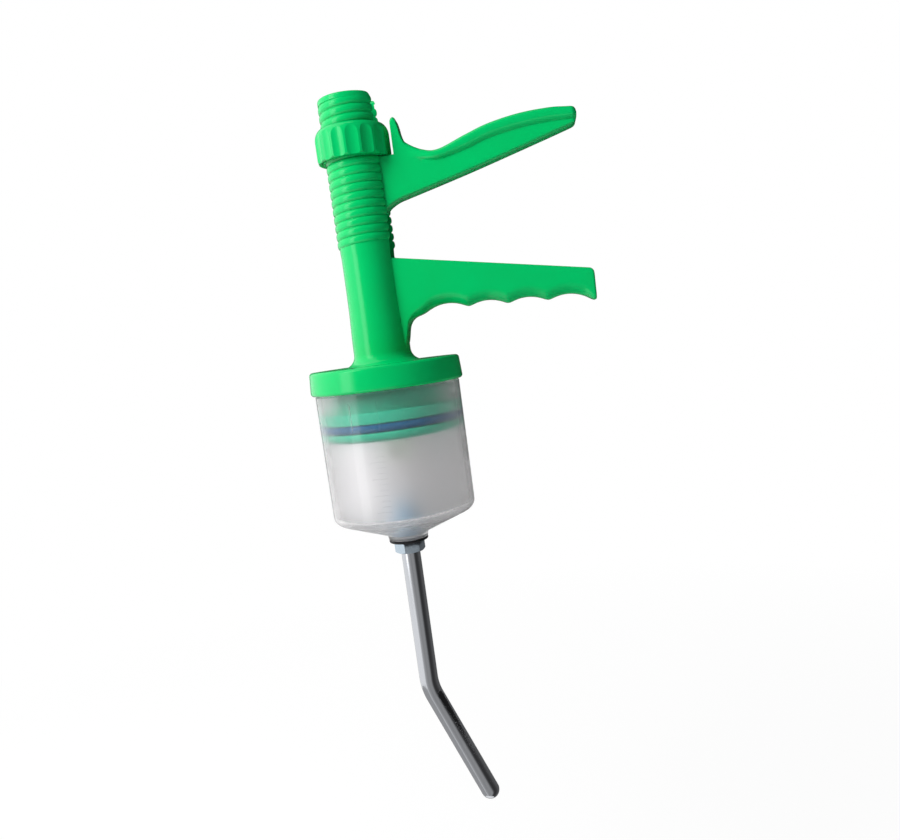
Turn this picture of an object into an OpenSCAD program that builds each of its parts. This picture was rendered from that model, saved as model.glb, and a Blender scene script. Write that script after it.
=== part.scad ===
// Livestock drencher: a hand dosing pump with a clear barrel, a squeeze lever and a bent nozzle.
// Millimetres, +Z up along the barrel, handles toward +X.
// Origin on the barrel's axis, level with the middle of the fixed grip's root.

/* [Handle tube] */
// thread diameter over the crests
tube_d = 29.2; // [26:0.1:36]
// thread pitch
thread_pitch = 4; // [3:0.1:5]
// height of the thread's ridges
thread_depth = 0.8; // [0.6:0.1:1.4]
// tube wall under the thread
tube_wall = 2.8; // [2.2:0.1:3.4]
// top of the tube above the origin
tube_top = 93.6; // [86:0.1:113]
// width of the lengthwise slot
slot_w = 13; // [10:0.1:15.6]
// bottom of the slot above the origin
slot_floor = 15.5; // [13:0.1:18.6]

/* [Fixed grip] */
// reach of the grip from the barrel's axis
grip_reach = 109.7; // [91:0.1:132]
// thickness of the grip
grip_t = 13; // [10:0.1:15.6]
// spacing of the finger grooves
finger_pitch = 19.8; // [16.5:0.1:23.8]
// radius of the finger grooves
finger_r = 19; // [16:0.5:26]
// fall of the grip's top edge from root to end
grip_fall = 18; // [14:0.5:22]
// depth of the grip at its end
grip_end_h = 14.5; // [12:0.1:18]

/* [Cap and barrel] */
// outer diameter of the barrel
barrel_d = 73.9; // [60:0.1:92]
// wall of the barrel
barrel_wall = 2.8; // [2.4:0.1:3.6]
// outer radius of the barrel's lower corner
barrel_corner = 4.5; // [3:0.1:6]
// wall of the cap's skirt
cap_wall = 2.15; // [1.8:0.05:3.5]
// height of the cap
cap_h = 11.9; // [11:0.1:16]
// radius of the cap's upper edge
cap_edge = 1.7; // [1:0.1:3]
// distance from the origin down to the cap's top face
cap_drop = 35.6; // [32:0.1:42]
// how much narrower the cap is at its upper edge
cap_draft = 0.6; // [0:0.1:1]
// slope of the barrel's cone floor in degrees
cone_angle = 22.4; // [18:0.1:30]
// diameter of the neck's lower end
neck_d = 20.8; // [17.3:0.1:25]
// straight length of the neck
neck_len = 2.6; // [2.1:0.1:8]

/* [Piston] */
// working stroke of the lever and piston
stroke = 20; // [10:0.5:24]
// piston's lower face under the cap at rest
piston_low = 24.5; // [22:0.1:30]
// free length left under the piston at full squeeze
dead_len = 21.4; // [19:0.1:30]
// section of the piston ring
ring_s = 4.4; // [3:0.1:5.3]
// height of the piston's lower disc
low_h = 4.7; // [3:0.1:6]
// outer diameter of the piston rod
rod_d = 11; // [9.1:0.1:13.2]
// bore of the piston rod
rod_bore = 5.2; // [4:0.1:5.6]

/* [Squeeze lever] */
// reach of the lever from the barrel's axis
lever_reach = 108.5; // [90:0.1:131]
// height of the lever's root along the slot
lever_root_h = 26.4; // [22:0.1:30]
// width of the raised palm rim
rim_w = 15; // [13:0.1:18]

/* [Dose nut] */
// wall of the nut over the thread's crests
nut_wall = 3.8; // [3.1:0.05:4.8]
// height of the nut
nut_h = 15.8; // [13:0.1:19]
// number of broad flutes, with a narrow rib between each two
flutes = 16; // [10:1:20]
// radius of a flute
flute_r = 8; // [6:0.1:12]
// depth of a flute
flute_depth = 0.85; // [0.4:0.05:1.4]

/* [Springs and valves] */
// wire of the return spring
spring_wire = 1.6; // [1.2:0.1:2]
// turns of the return spring
spring_turns = 10; // [7:1:12]
// wire of the valve springs
valve_wire = 0.6; // [0.4:0.1:0.8]
// turns of the valve springs
valve_turns = 4; // [3:1:5]
// thickness of a valve's head
head_t = 1.5; // [1:0.1:2]
// radius of a valve's stem
stem_r = 1.2; // [1:0.1:1.5]

/* [Hose inlet] */
// outer diameter of the hose spigot
hose_d = 10; // [8:0.1:12]

/* [Nozzle] */
// outer diameter of the nozzle tube
nozzle_d = 10; // [8.3:0.1:12]
// wall of the nozzle tube
nozzle_wall = 1.4; // [1:0.1:1.8]
// length from the neck to the bend's corner
nozzle_upper = 83.6; // [60:0.1:101]
// straight length after the bend
nozzle_lower = 61.3; // [50:0.1:90]
// angle of the bend in degrees
nozzle_bend = 22; // [2:0.5:40]
// centre radius of the bend
nozzle_bend_r = 30; // [18:0.5:60]
// width across the flats of the nozzle nut
hex_af = 14; // [13:0.1:17]
// height of the nozzle nut
hex_h = 5.9; // [4:0.1:8]

/* [Hidden] */
$fn = 96;
// side clearance of loose moulded pieces
loose = 0.3;
// radial clearance of running fits
run = 0.05;
// radial clearance of a screwed fit
screwed = 0.02;
// gap of pieces that only touch in use
touch = 0.1;
// tube radii
crest_r = tube_d / 2;
root_r = crest_r - thread_depth;
bore_r = root_r - tube_wall;
smooth_r = crest_r - 0.95;
foot_r = crest_r - 0.1;
foot_fillet = 6;
lip_r = crest_r - 0.2;
thread_z0 = slot_floor + 5;
thread_n = floor((tube_top - 3 - thread_z0) / thread_pitch);
// plain lip above the thread
lip_z = max(tube_top - 3, thread_z0 + thread_n * thread_pitch);
// lever and stop stack
nut_d = tube_d + 2 * nut_wall;
// how far the nut stands turned at rest, in degrees
nut_turned = 3;
lever_t = slot_w - 2 * loose;
hub_r = bore_r - 0.4;
slot_spare = 1.7;
hub_z0 = slot_floor + slot_spare + stroke;
hub_z1 = hub_z0 + lever_root_h;
stop_z0 = hub_z1 + loose;
stop_t = 1.9;
stop_r = nut_d / 2 - 2.2;
nut_z0 = stop_z0 + touch;
nut_z1 = nut_z0 + nut_h;
// cap and barrel levels
barrel_r = barrel_d / 2;
bore_b = barrel_r - barrel_wall;
thread_gap = 0.15;
ridge_h = 0.75;
collar_r = barrel_r - 1;
cap_in = collar_r + ridge_h + thread_gap;
cap_r = cap_in + cap_wall;
cap_z1 = -cap_drop;
cap_z0 = cap_z1 - cap_h;
cap_plate = 2.2;
cap_under = cap_z1 - cap_plate;
gasket_t = 1.6;
collar_z1 = cap_under - gasket_t;
shoulder_z = cap_z0 - loose;
ridge_z = cap_z0 + 1.6;
ridge_step = 1.6;
ledge_z = cap_z1 + 8.1;
corner_z = cap_z0 - piston_low - stroke - dead_len;
neck_r = neck_d / 2;
neck_z1 = corner_z - (barrel_r - neck_r) * tan(cone_angle);
neck_z0 = neck_z1 - neck_len;
// piston levels
rod_r = rod_d / 2;
shank_r = rod_r - 1;
piston_r = bore_b - 0.4;
low_z0 = cap_z0 - piston_low;
low_z1 = low_z0 + low_h;
ring_z = low_z1 + ring_s / 2;
groove_z1 = low_z1 + ring_s;
ring_c = bore_b - 0.03 - ring_s / 2;
boss_r = ring_c - ring_s / 2 - 0.05;
drum_r = boss_r - 2;
seal_t = 0.9;
rod_low = groove_z1 + 11.9;
shank_low = 5;
rod_end = low_z0 - shank_low;
// spring seats
spring_r = (rod_r + bore_r) / 2;
bush_r = spring_r - spring_wire / 2 - 0.15;
// inlet valve under the piston
in_r = shank_r + 3.9;
in_cavity = shank_r + 1.1;
in_head_r = shank_r - 0.3;
in_head_z = rod_end - touch;
in_floor = rod_end - 7;
in_z0 = in_floor - 1.6;
// lock nut and hose spigot
lock_z1 = hub_z1 + 5;
spig_seal_t = 1.4;
rod_top = lock_z1 + 9.4;
spig_r = hose_d / 2;
spig_base_r = max(shank_r + 2.5, spig_r + 1.5);
spig_z1 = rod_top + spig_seal_t;
spig_z2 = tube_top - 1.6;
// nozzle and outlet valve
noz_r = nozzle_d / 2;
noz_in = noz_r - nozzle_wall;
pocket_r = noz_r + 3.35;
pocket_z = neck_z0 + 3.7;
noz_z1 = pocket_z + 3.7;
cage_r = noz_r + 1.65;
seat_z = noz_z1 + 6.3;
out_head_r = noz_r - 0.55;
out_head_z = seat_z - touch;
out_top = seat_z + 5.4;
neck_seal_t = 1.6;
hex_z1 = neck_z0 - neck_seal_t;
bend_swell = 0.02;
bend_lap = 1;
bend_z = neck_z0 - nozzle_upper + nozzle_bend_r * tan(nozzle_bend / 2);

// points of an arc
function arc(cx, cz, r, a0, a1, n) =
    [for (i = [0:n]) let(a = a0 + (a1 - a0) * i / n) [cx + r * cos(a), cz + r * sin(a)]];

// smooth curve through control points
function cr(a, b, c, d, t) =
    0.5 * (2 * b + (c - a) * t + (2 * a - 5 * b + 4 * c - d) * t * t + (3 * b - a - 3 * c + d) * t * t * t);
function flow(p, n) =
    [for (i = [0:len(p) - 2]) for (k = [0:n - 1])
        cr(p[max(i - 1, 0)], p[i], p[i + 1], p[min(i + 2, len(p) - 1)], k / n)];

// thread ridge on a wall, drawn downward
function ridge(r, h, z) = [[r, z + 0.8], [r + h, z + 0.3], [r + h, z - 0.3], [r, z - 0.8]];

// one unbroken round wire wound about the axis between two seats
module coil(r, w, z0, z1, turns) {
    n = turns * 8;
    m = 6;
    pts = [for (i = [0:n]) for (j = [0:m - 1])
        let(a = 45 * i, b = 360 / m * j, q = r + w * cos(b))
        [q * cos(a), q * sin(a), z0 + w + (z1 - z0 - 2 * w) * i / n + w * sin(b)]];
    side_a = [for (i = [0:n - 1]) for (j = [0:m - 1])
        [i * m + j, (i + 1) * m + j, (i + 1) * m + (j + 1) % m]];
    side_b = [for (i = [0:n - 1]) for (j = [0:m - 1])
        [i * m + j, (i + 1) * m + (j + 1) % m, i * m + (j + 1) % m]];
    ends = [[for (j = [0:m - 1]) j], [for (j = [0:m - 1]) n * m + m - 1 - j]];
    polyhedron(points = pts, faces = concat(side_a, side_b, ends), convexity = 10);
}

// least gap of a coil to itself, measured between ring centres of neighbouring turns
function coil_gap(r, w, z0, z1, turns) =
    min([for (i = [0:turns * 8 - 8]) for (k = [-3:3])
        let(q = max(0, min(turns * 8, i + 8 + k)), up = (z1 - z0 - 2 * w) / (turns * 8),
            a = [r * cos(45 * i), r * sin(45 * i), up * i],
            b = [r * cos(45 * q), r * sin(45 * q), up * q])
        norm(a - b)]) - 2 * w;
echo(return_spring_gap = coil_gap(spring_r, spring_wire / 2, ledge_z, hub_z0, spring_turns));
echo(inlet_spring_gap = coil_gap(2.6, valve_wire / 2, in_floor, in_head_z - head_t, valve_turns));
echo(outlet_spring_gap = coil_gap(noz_in + 0.4, valve_wire / 2, noz_z1, out_head_z - head_t, valve_turns));

// six-sided nut with chamfered corners
module hex_nut(af, z0, z1) {
    intersection() {
        translate([0, 0, z0])
            cylinder(r = af / sqrt(3), h = z1 - z0, $fn = 6);
        rotate_extrude()
            polygon([[0, z0], [af / 2, z0], [af / sqrt(3) + 0.1, z0 + 0.7],
                [af / sqrt(3) + 0.1, z1 - 0.7], [af / 2, z1], [0, z1]]);
    }
}

// flat ring
module ring(ro, ri, z0, z1) {
    difference() {
        translate([0, 0, z0])
            cylinder(r = ro, h = z1 - z0);
        translate([0, 0, z0 - 1])
            cylinder(r = ri, h = z1 - z0 + 2);
    }
}

// Handle body
// outer section of tube and cap
body_outer = concat(
    [[0, cap_z0]],
    arc(cap_r - 1.6, cap_z0 + 1.6, 1.6, -90, 0, 5),
    arc(cap_r - cap_draft - cap_edge, cap_z1 - cap_edge, cap_edge, 0, 90, 6),
    arc(foot_r + foot_fillet, cap_z1 + foot_fillet, foot_fillet, 270, 180, 7),
    [[foot_r, cap_z1 + 12.5], [smooth_r + 0.2, cap_z1 + 27.5], [smooth_r, thread_z0 - 2], [root_r, thread_z0]],
    [for (i = [0:thread_n - 1]) each [
        [root_r, thread_z0 + (i + 0.06) * thread_pitch],
        [crest_r, thread_z0 + (i + 0.24) * thread_pitch],
        [crest_r, thread_z0 + (i + 0.76) * thread_pitch],
        [root_r, thread_z0 + (i + 0.94) * thread_pitch]]],
    [[root_r, lip_z], [lip_r, lip_z + 0.4], [lip_r, tube_top - 1], [lip_r - 0.3, tube_top - 0.3],
        [lip_r - 1, tube_top], [0, tube_top]]);

// hollow of tube, bush seat and cap, with the cap's thread ridges
body_hollow = concat(
    [[0, tube_top + 1], [bore_r, tube_top + 1], [bore_r, ledge_z], [bush_r, ledge_z],
        [bush_r, cap_under], [cap_in, cap_under]],
    ridge(cap_in, -ridge_h, ridge_z + 2 * ridge_step),
    ridge(cap_in, -ridge_h, ridge_z),
    [[cap_in, cap_z0 - 1], [0, cap_z0 - 1]]);

// side outline of the grip before the finger grooves
grip_end = slot_floor - grip_fall;
grip_low = grip_end - grip_end_h;
groove_x = grip_reach - 14.4;
grip_side = concat(
    [[bore_r + 0.6, slot_floor], [grip_reach - 2.5, grip_end]],
    arc(grip_reach - 2, grip_end - 2.2, 2, 80, 0, 4),
    [[grip_reach - 0.6, grip_low - 0.8], [grip_reach - 2.2, grip_low - 1.3],
        [groove_x + finger_pitch / 2, grip_low], [groove_x - finger_pitch / 2, grip_low + 2],
        [groove_x - 2.5 * finger_pitch, grip_low + 4.2]],
    arc(crest_r + 7.4, grip_low - 4, 6.6, 80, 180, 7),
    [[crest_r + 0.3, grip_low - 7.5], [bore_r + 1.6, grip_low - 12], [bore_r + 0.6, grip_low - 12]]);

module handle_body() {
    color([0.0, 0.72, 0.36])
    difference() {
        union() {
            rotate_extrude()
                polygon(body_outer);
            difference() {
                rotate([90, 0, 0])
                    linear_extrude(height = grip_t, center = true)
                        polygon(grip_side);
                // finger grooves
                for (i = [0:3])
                    translate([groove_x - i * finger_pitch, 0, grip_low - finger_r + 3.5 + 1.15 * i])
                        rotate([90, 0, 0])
                            cylinder(r = finger_r, h = grip_t + 2, center = true);
            }
        }
        rotate_extrude()
            polygon(body_hollow);
        // slot for the lever's root
        translate([0, -slot_w / 2, slot_floor])
            cube([crest_r + 2, slot_w, tube_top - slot_floor + 1]);
    }
}

module rod_bush() {
    color([0.93, 0.93, 0.9])
    difference() {
        union() {
            ring(bush_r, rod_r + run, cap_under - 1, ledge_z);
            ring(bush_r + 3, rod_r + run, cap_under - 2, cap_under);
        }
        // lead-in for the rod
        translate([0, 0, cap_under - 2.01])
            cylinder(r1 = rod_r + 0.6, r2 = rod_r, h = 0.6);
    }
}

// Barrel
// half the turn between wall and cone, which sets where the corner arcs begin
turn = (90 - cone_angle) / 2;
inner_r = barrel_corner - 2;
inner_z = corner_z + 2.2;
neck_fillet = 2.4;
barrel_side = concat(
    [[bore_b, collar_z1], [collar_r - 0.4, collar_z1], [collar_r, collar_z1 - 0.4]],
    ridge(collar_r, ridge_h, ridge_z + 3 * ridge_step),
    ridge(collar_r, ridge_h, ridge_z + ridge_step),
    [[collar_r, shoulder_z], [barrel_r - 0.5, shoulder_z], [barrel_r, shoulder_z - 0.5]],
    arc(barrel_r - barrel_corner, corner_z + barrel_corner * tan(turn), barrel_corner, 0, -2 * turn, 7),
    arc(neck_r + neck_fillet, neck_z1 - neck_fillet * tan(turn), neck_fillet, 180 - 2 * turn, 180, 6),
    [[neck_r, neck_z0 + 0.4], [neck_r - 0.4, neck_z0], [noz_r + loose, neck_z0],
        [noz_r + loose, pocket_z], [pocket_r, pocket_z],
        [pocket_r, inner_z - (bore_b - pocket_r) * tan(cone_angle)]],
    arc(bore_b - inner_r, inner_z + inner_r * tan(turn), inner_r, -2 * turn, 0, 6));

module barrel() {
    color([0.88, 0.88, 0.9, 0.55])
    rotate_extrude()
        polygon(barrel_side);
}

module barrel_gasket() {
    color([0.12, 0.12, 0.12])
    ring(collar_r, bore_b - 0.6, collar_z1, cap_under);
}

// Dose stop
module stop_washer() {
    color([0.0, 0.5, 0.25])
    union() {
        ring(stop_r, crest_r + run, stop_z0, stop_z0 + stop_t);
        // key that rides in the slot
        difference() {
            translate([bore_r + 0.8, -lever_t / 2, stop_z0])
                cube([stop_r - bore_r, lever_t, stop_t]);
            ring(stop_r + 9, stop_r - 1, stop_z0 - 1, stop_z0 + stop_t + 1);
        }
    }
}

module dose_nut() {
    color([0.0, 0.72, 0.36])
    difference() {
        rotate_extrude()
            polygon(concat(
                [[crest_r + run, nut_z0]],
                arc(nut_d / 2 - 1.2, nut_z0 + 1.2, 1.2, -90, 0, 4),
                [for (a = [0:11:77]) [nut_d / 2 - 3.7 * (1 - cos(a)), nut_z1 - 6.2 * (1 - sin(a))]],
                [[crest_r + run, nut_z1]]));
        // recess that takes the washer
        translate([0, 0, nut_z0 - 1])
            cylinder(r = stop_r + 0.2, h = stop_t + 1);
        for (i = [0:flutes - 1])
            rotate([0, 0, 360 / flutes * (i + 0.5) + nut_turned])
                translate([nut_d / 2 - flute_depth + flute_r, 0, nut_z0 - 1])
                    cylinder(r = flute_r, h = nut_h + 2);
    }
}

// Squeeze lever
// the long edges run along the reach, the thumb hook keeps its size
lever_k = lever_reach / 108.5;
hook_x = max(nut_d / 2 + 1.7, crest_r + 5.3);
rim_top = [
    [hook_x + 6.8, hub_z1 + 4.4], [hook_x + 13.8, hub_z1 + 0.3], [hook_x + 21.4, hub_z1 - 0.9],
    [55 * lever_k, hub_z1 + 3.6], [67 * lever_k, hub_z1 + 7.2], [82 * lever_k, hub_z1 + 9.5],
    [96 * lever_k, hub_z1 + 9.9], [lever_reach - 3.2, hub_z1 + 8.8], [lever_reach - 0.4, hub_z1 + 6.9]];
rim_low = [
    [lever_reach - 0.6, hub_z1 + 3.4], [96 * lever_k, hub_z1 + 3.2], [82 * lever_k, hub_z1 + 2.6],
    [67 * lever_k, hub_z1 + 0.4], [55 * lever_k, hub_z1 - 3.2], [hook_x + 21.4, hub_z1 - 5.6],
    [hook_x + 13.8, hub_z1 - 4.6], [hook_x + 8.2, hub_z1 - 1]];
lever_top = flow(concat(
    [[hook_x + 1.7, hub_z1 + 17.2], [hook_x + 2.7, hub_z1 + 16.2], [hook_x + 3.4, hub_z1 + 13.6],
        [hook_x + 3.9, hub_z1 + 10.4], [hook_x + 4.9, hub_z1 + 7.1]],
    rim_top,
    [[lever_reach, hub_z1 + 4.5], [lever_reach - 1.5, hub_z1 + 2.2], [lever_reach - 6, hub_z1 + 0.5]]), 4);
lever_low = [
    [87 * lever_k, hub_z1 - 3.8], [55 * lever_k, hub_z1 - 12.6], [crest_r + 10, hub_z0 + 6.4],
    [crest_r + 5.4, hub_z0 + 5.3], [crest_r + 2.4, hub_z0 + 4.1], [crest_r - 0.2, hub_z0 + 2.6],
    [crest_r - 2, hub_z0 + 0.9], [crest_r - 2.6, hub_z0], [0, hub_z0], [0, hub_z1],
    [hook_x - 0.2, hub_z1], [hook_x, hub_z1 + 15.9], [hook_x + 0.6, hub_z1 + 16.9]];

module squeeze_lever() {
    color([0.0, 0.72, 0.36])
    difference() {
        union() {
            rotate([90, 0, 0])
                linear_extrude(height = lever_t, center = true)
                    polygon(concat(lever_top, lever_low));
            // raised palm rim between the top edge and its crease
            rotate([90, 0, 0])
                linear_extrude(height = rim_w, center = true)
                    polygon(concat(flow(rim_top, 4), flow(rim_low, 4)));
            // hub inside the tube
            translate([0, 0, hub_z0])
                cylinder(r = hub_r, h = lever_root_h);
        }
        translate([0, 0, hub_z0 - 1])
            cylinder(r = shank_r + run, h = lever_root_h + 2);
    }
}

// Plunger
module piston_rod() {
    color([0.78, 0.78, 0.8])
    difference() {
        rotate_extrude()
            polygon([[0, rod_end], [shank_r, rod_end], [shank_r, rod_low], [rod_r, rod_low],
                [rod_r, hub_z0], [shank_r, hub_z0], [shank_r, rod_top], [0, rod_top]]);
        translate([0, 0, rod_end - 1])
            cylinder(r = rod_bore / 2, h = rod_top - rod_end + 2);
    }
}

module lock_nut() {
    color([0.7, 0.7, 0.72])
    difference() {
        hex_nut(2 * shank_r + 4, hub_z1, lock_z1);
        translate([0, 0, hub_z1 - 1])
            cylinder(r = shank_r + screwed, h = lock_z1 - hub_z1 + 2);
    }
}

module hose_spigot() {
    color([0.8, 0.68, 0.36])
    difference() {
        rotate_extrude()
            polygon([[0, lock_z1], [spig_base_r - 0.5, lock_z1], [spig_base_r, lock_z1 + 0.5],
                [spig_base_r, spig_z1 + 1], [spig_base_r - 0.5, spig_z1 + 1.5], [spig_r, spig_z1 + 1.5],
                [spig_r, spig_z2 - 1], [spig_r - 0.8, spig_z2], [0, spig_z2]]);
        translate([0, 0, lock_z1 - 1])
            cylinder(r = shank_r + screwed, h = spig_z1 - lock_z1 + 1);
        translate([0, 0, lock_z1])
            cylinder(r = spig_r - 2, h = spig_z2 - lock_z1 + 1);
    }
}

module spigot_seal() {
    color([0.15, 0.15, 0.15])
    ring(shank_r, rod_bore / 2, rod_top, spig_z1);
}

module return_spring() {
    color([0.72, 0.72, 0.75])
    coil(spring_r, spring_wire / 2, ledge_z, hub_z0, spring_turns);
}

module rod_seal() {
    color([0.15, 0.15, 0.15])
    ring(rod_r + 2.5, shank_r + run, rod_low - seal_t, rod_low);
}

module piston_upper() {
    color([0.0, 0.62, 0.4])
    difference() {
        rotate_extrude()
            polygon([[0, low_z1], [boss_r, low_z1], [boss_r, groove_z1], [piston_r, groove_z1],
                [piston_r, groove_z1 + 5.1], [piston_r - 0.5, groove_z1 + 5.6], [drum_r + 1, groove_z1 + 5.6],
                [drum_r, groove_z1 + 6.6], [drum_r, rod_low - seal_t], [drum_r - 3, rod_low - seal_t],
                [drum_r - 3.4, groove_z1 + 4], [rod_r + 5.5, groove_z1 + 4],
                [rod_r + 5, rod_low - seal_t], [0, rod_low - seal_t]]);
        translate([0, 0, low_z1 - 1])
            cylinder(r = shank_r + run, h = rod_low - low_z1 + 2);
    }
}

module piston_ring() {
    color([0.08, 0.16, 0.42])
    rotate_extrude()
        translate([ring_c, ring_z])
            circle(r = ring_s / 2, $fn = 48);
}

module piston_lower() {
    color([0.0, 0.62, 0.4])
    difference() {
        rotate_extrude()
            polygon([[0, low_z0], [piston_r - 0.6, low_z0], [piston_r, low_z0 + 0.6],
                [piston_r, low_z1], [0, low_z1]]);
        translate([0, 0, low_z0 - 1])
            cylinder(r = shank_r + run, h = low_h + 2);
    }
}

// Inlet valve on the end of the rod
module inlet_cage() {
    color([0.94, 0.94, 0.95])
    difference() {
        rotate_extrude()
            polygon([[0, in_z0], [in_r - 2, in_z0], [in_r - 1.4, in_z0 + 0.6], [in_r - 1.4, rod_end + 0.6],
                [in_r, rod_end + 1.2], [in_r, low_z0], [0, low_z0]]);
        // thread on the rod
        translate([0, 0, rod_end - 0.01])
            cylinder(r = shank_r + screwed, h = shank_low + 1);
        translate([0, 0, in_floor])
            cylinder(r = in_cavity, h = rod_end - in_floor);
        // stem guide
        translate([0, 0, in_z0 - 1])
            cylinder(r = stem_r + run, h = 4);
        // side windows
        for (a = [0, 90])
            rotate([0, 0, a])
                translate([-in_r - 1, -2.5, in_floor + 0.8])
                    cube([2 * in_r + 2, 5, 4]);
    }
}

module inlet_poppet() {
    color([0.1, 0.25, 0.55])
    rotate_extrude()
        polygon([[0, in_z0 + 0.2], [stem_r - 0.3, in_z0 + 0.2], [stem_r, in_z0 + 0.5],
            [stem_r, in_head_z - head_t], [in_head_r - 0.3, in_head_z - head_t],
            [in_head_r, in_head_z - head_t + 0.3], [in_head_r, in_head_z], [0, in_head_z]]);
}

module inlet_spring() {
    color([0.72, 0.72, 0.75])
    coil(2.6, valve_wire / 2, in_floor, in_head_z - head_t, valve_turns);
}

// Outlet valve on the nozzle's inner end
module outlet_cage() {
    color([0.15, 0.45, 0.75])
    difference() {
        rotate_extrude()
            polygon([[0, pocket_z], [pocket_r - 0.2, pocket_z], [pocket_r - 0.2, pocket_z + 2],
                [cage_r, pocket_z + 2.4], [cage_r, seat_z - 0.6], [cage_r - 1.6, seat_z + 0.4],
                [cage_r - 1.6, out_top - 0.5], [cage_r - 2.1, out_top], [0, out_top]]);
        // thread on the nozzle and room for the valve
        translate([0, 0, pocket_z - 1])
            cylinder(r = noz_r + screwed, h = seat_z - pocket_z + 1);
        // seat
        translate([0, 0, seat_z - 0.5])
            cylinder(r = stem_r + 1.5, h = 2);
        translate([0, 0, seat_z + 1])
            cylinder(r = stem_r + 2.2, h = 2.9);
        // stem guide
        translate([0, 0, seat_z])
            cylinder(r = stem_r + run, h = 8);
        // side windows
        for (a = [45, 135])
            rotate([0, 0, a])
                translate([-cage_r - 1, -1.5, seat_z + 1.2])
                    cube([2 * cage_r + 2, 3, 2.4]);
    }
}

module outlet_poppet() {
    color([0.1, 0.25, 0.55])
    rotate_extrude()
        polygon([[0, out_head_z - head_t], [out_head_r - 0.3, out_head_z - head_t],
            [out_head_r, out_head_z - head_t + 0.3], [out_head_r, out_head_z], [stem_r, out_head_z],
            [stem_r, out_top - 0.2], [stem_r - 0.3, out_top + 0.2], [0, out_top + 0.2]]);
}

module outlet_spring() {
    color([0.72, 0.72, 0.75])
    coil(noz_in + 0.4, valve_wire / 2, noz_z1, out_head_z - head_t, valve_turns);
}

module neck_seal() {
    color([0.06, 0.06, 0.06])
    ring(neck_r - 0.1, noz_r + screwed, hex_z1, neck_z0);
}

module nozzle_nut() {
    color([0.75, 0.76, 0.78])
    difference() {
        hex_nut(hex_af, hex_z1 - hex_h, hex_z1);
        translate([0, 0, hex_z1 - hex_h - 1])
            cylinder(r = noz_r + screwed, h = hex_h + 2);
    }
}

// Nozzle
// upper run and bend with the given radius; the formed bend is a hair wider and laps both straights
module nozzle_run(r, swell, extra) {
    translate([0, 0, bend_z])
        cylinder(r = r, h = noz_z1 - bend_z + extra);
    translate([nozzle_bend_r, 0, bend_z])
        rotate([90, 0, 0])
            rotate([0, 0, 180 - bend_lap])
                rotate_extrude(angle = nozzle_bend + 2 * bend_lap)
                    translate([nozzle_bend_r, 0])
                        circle(r = r + swell);
}

// place children at the end of the bend, along the lower run
module after_bend() {
    translate([nozzle_bend_r, 0, bend_z])
        rotate([0, -nozzle_bend, 0])
            translate([-nozzle_bend_r, 0, 0])
                children();
}

module nozzle() {
    color([0.72, 0.73, 0.75])
    difference() {
        union() {
            nozzle_run(noz_r, bend_swell, 0);
            after_bend()
                translate([0, 0, -nozzle_lower])
                    cylinder(r = noz_r, h = nozzle_lower);
            after_bend()
                translate([0, 0, -nozzle_lower])
                    sphere(r = noz_r);
        }
        nozzle_run(noz_in, -bend_swell, 1);
        after_bend()
            translate([0, 0, -nozzle_lower])
                cylinder(r = noz_in, h = nozzle_lower);
        // round tip hole
        after_bend()
            translate([0, 0, -nozzle_lower - noz_r - 1])
                cylinder(r = noz_in / 2, h = noz_r + 2);
    }
}

handle_body();
rod_bush();
barrel();
barrel_gasket();
stop_washer();
dose_nut();
squeeze_lever();
piston_rod();
lock_nut();
hose_spigot();
spigot_seal();
return_spring();
rod_seal();
piston_upper();
piston_ring();
piston_lower();
inlet_cage();
inlet_poppet();
inlet_spring();
outlet_cage();
outlet_poppet();
outlet_spring();
neck_seal();
nozzle_nut();
nozzle();
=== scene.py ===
"""Livestock drencher: the looks of a hand dosing pump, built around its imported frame.

Sizes are in millimetres, as in the part's source. Every mesh is in metres, in the frame's own
axes: +Z up the barrel, +X along the handles, the origin level with the middle of the fixed
grip's root.
"""
import logging
import math
from dataclasses import dataclass
from enum import Enum
from typing import Any

import bmesh
import bpy
from mathutils import Matrix, Vector


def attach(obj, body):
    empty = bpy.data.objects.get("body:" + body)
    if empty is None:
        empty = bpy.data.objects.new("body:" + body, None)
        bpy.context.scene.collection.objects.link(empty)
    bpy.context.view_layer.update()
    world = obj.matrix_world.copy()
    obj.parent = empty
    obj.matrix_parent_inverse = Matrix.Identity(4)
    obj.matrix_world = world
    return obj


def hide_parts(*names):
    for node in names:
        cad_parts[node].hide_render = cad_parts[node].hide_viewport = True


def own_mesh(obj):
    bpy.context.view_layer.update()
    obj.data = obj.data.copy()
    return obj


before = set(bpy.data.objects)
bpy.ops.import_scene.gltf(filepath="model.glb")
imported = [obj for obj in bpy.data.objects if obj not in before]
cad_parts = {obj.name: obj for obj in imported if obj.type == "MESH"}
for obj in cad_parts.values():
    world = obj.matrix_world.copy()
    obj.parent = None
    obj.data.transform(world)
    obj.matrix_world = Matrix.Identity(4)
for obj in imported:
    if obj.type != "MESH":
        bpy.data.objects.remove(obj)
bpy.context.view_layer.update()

MM = 0.001
MERGE = 1e-7
SMOOTH_BELOW = math.radians(38)
INNER_WALL = "inner_wall"
LOG = logging.getLogger("drencher")
Pair = tuple[float, float]
Triple = tuple[float, float, float]
Line = list[Pair]
Piece = bpy.types.Object
Material = bpy.types.Material
Tree = bpy.types.NodeTree
Node = bpy.types.Node
Socket = bpy.types.NodeSocket


class Body(str, Enum):
    """The rigid bodies that new pieces ride on."""

    HANDLE = "handle"
    PLUNGER = "plunger"
    NUT = "nut"


class Join(str, Enum):
    """How one shape acts on another."""

    ADD = "UNION"
    CUT = "DIFFERENCE"
    COMMON = "INTERSECT"


class LampUse(str, Enum):
    """What a lamp is for."""

    LIGHT = "light"
    SHINE = "shine"


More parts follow.
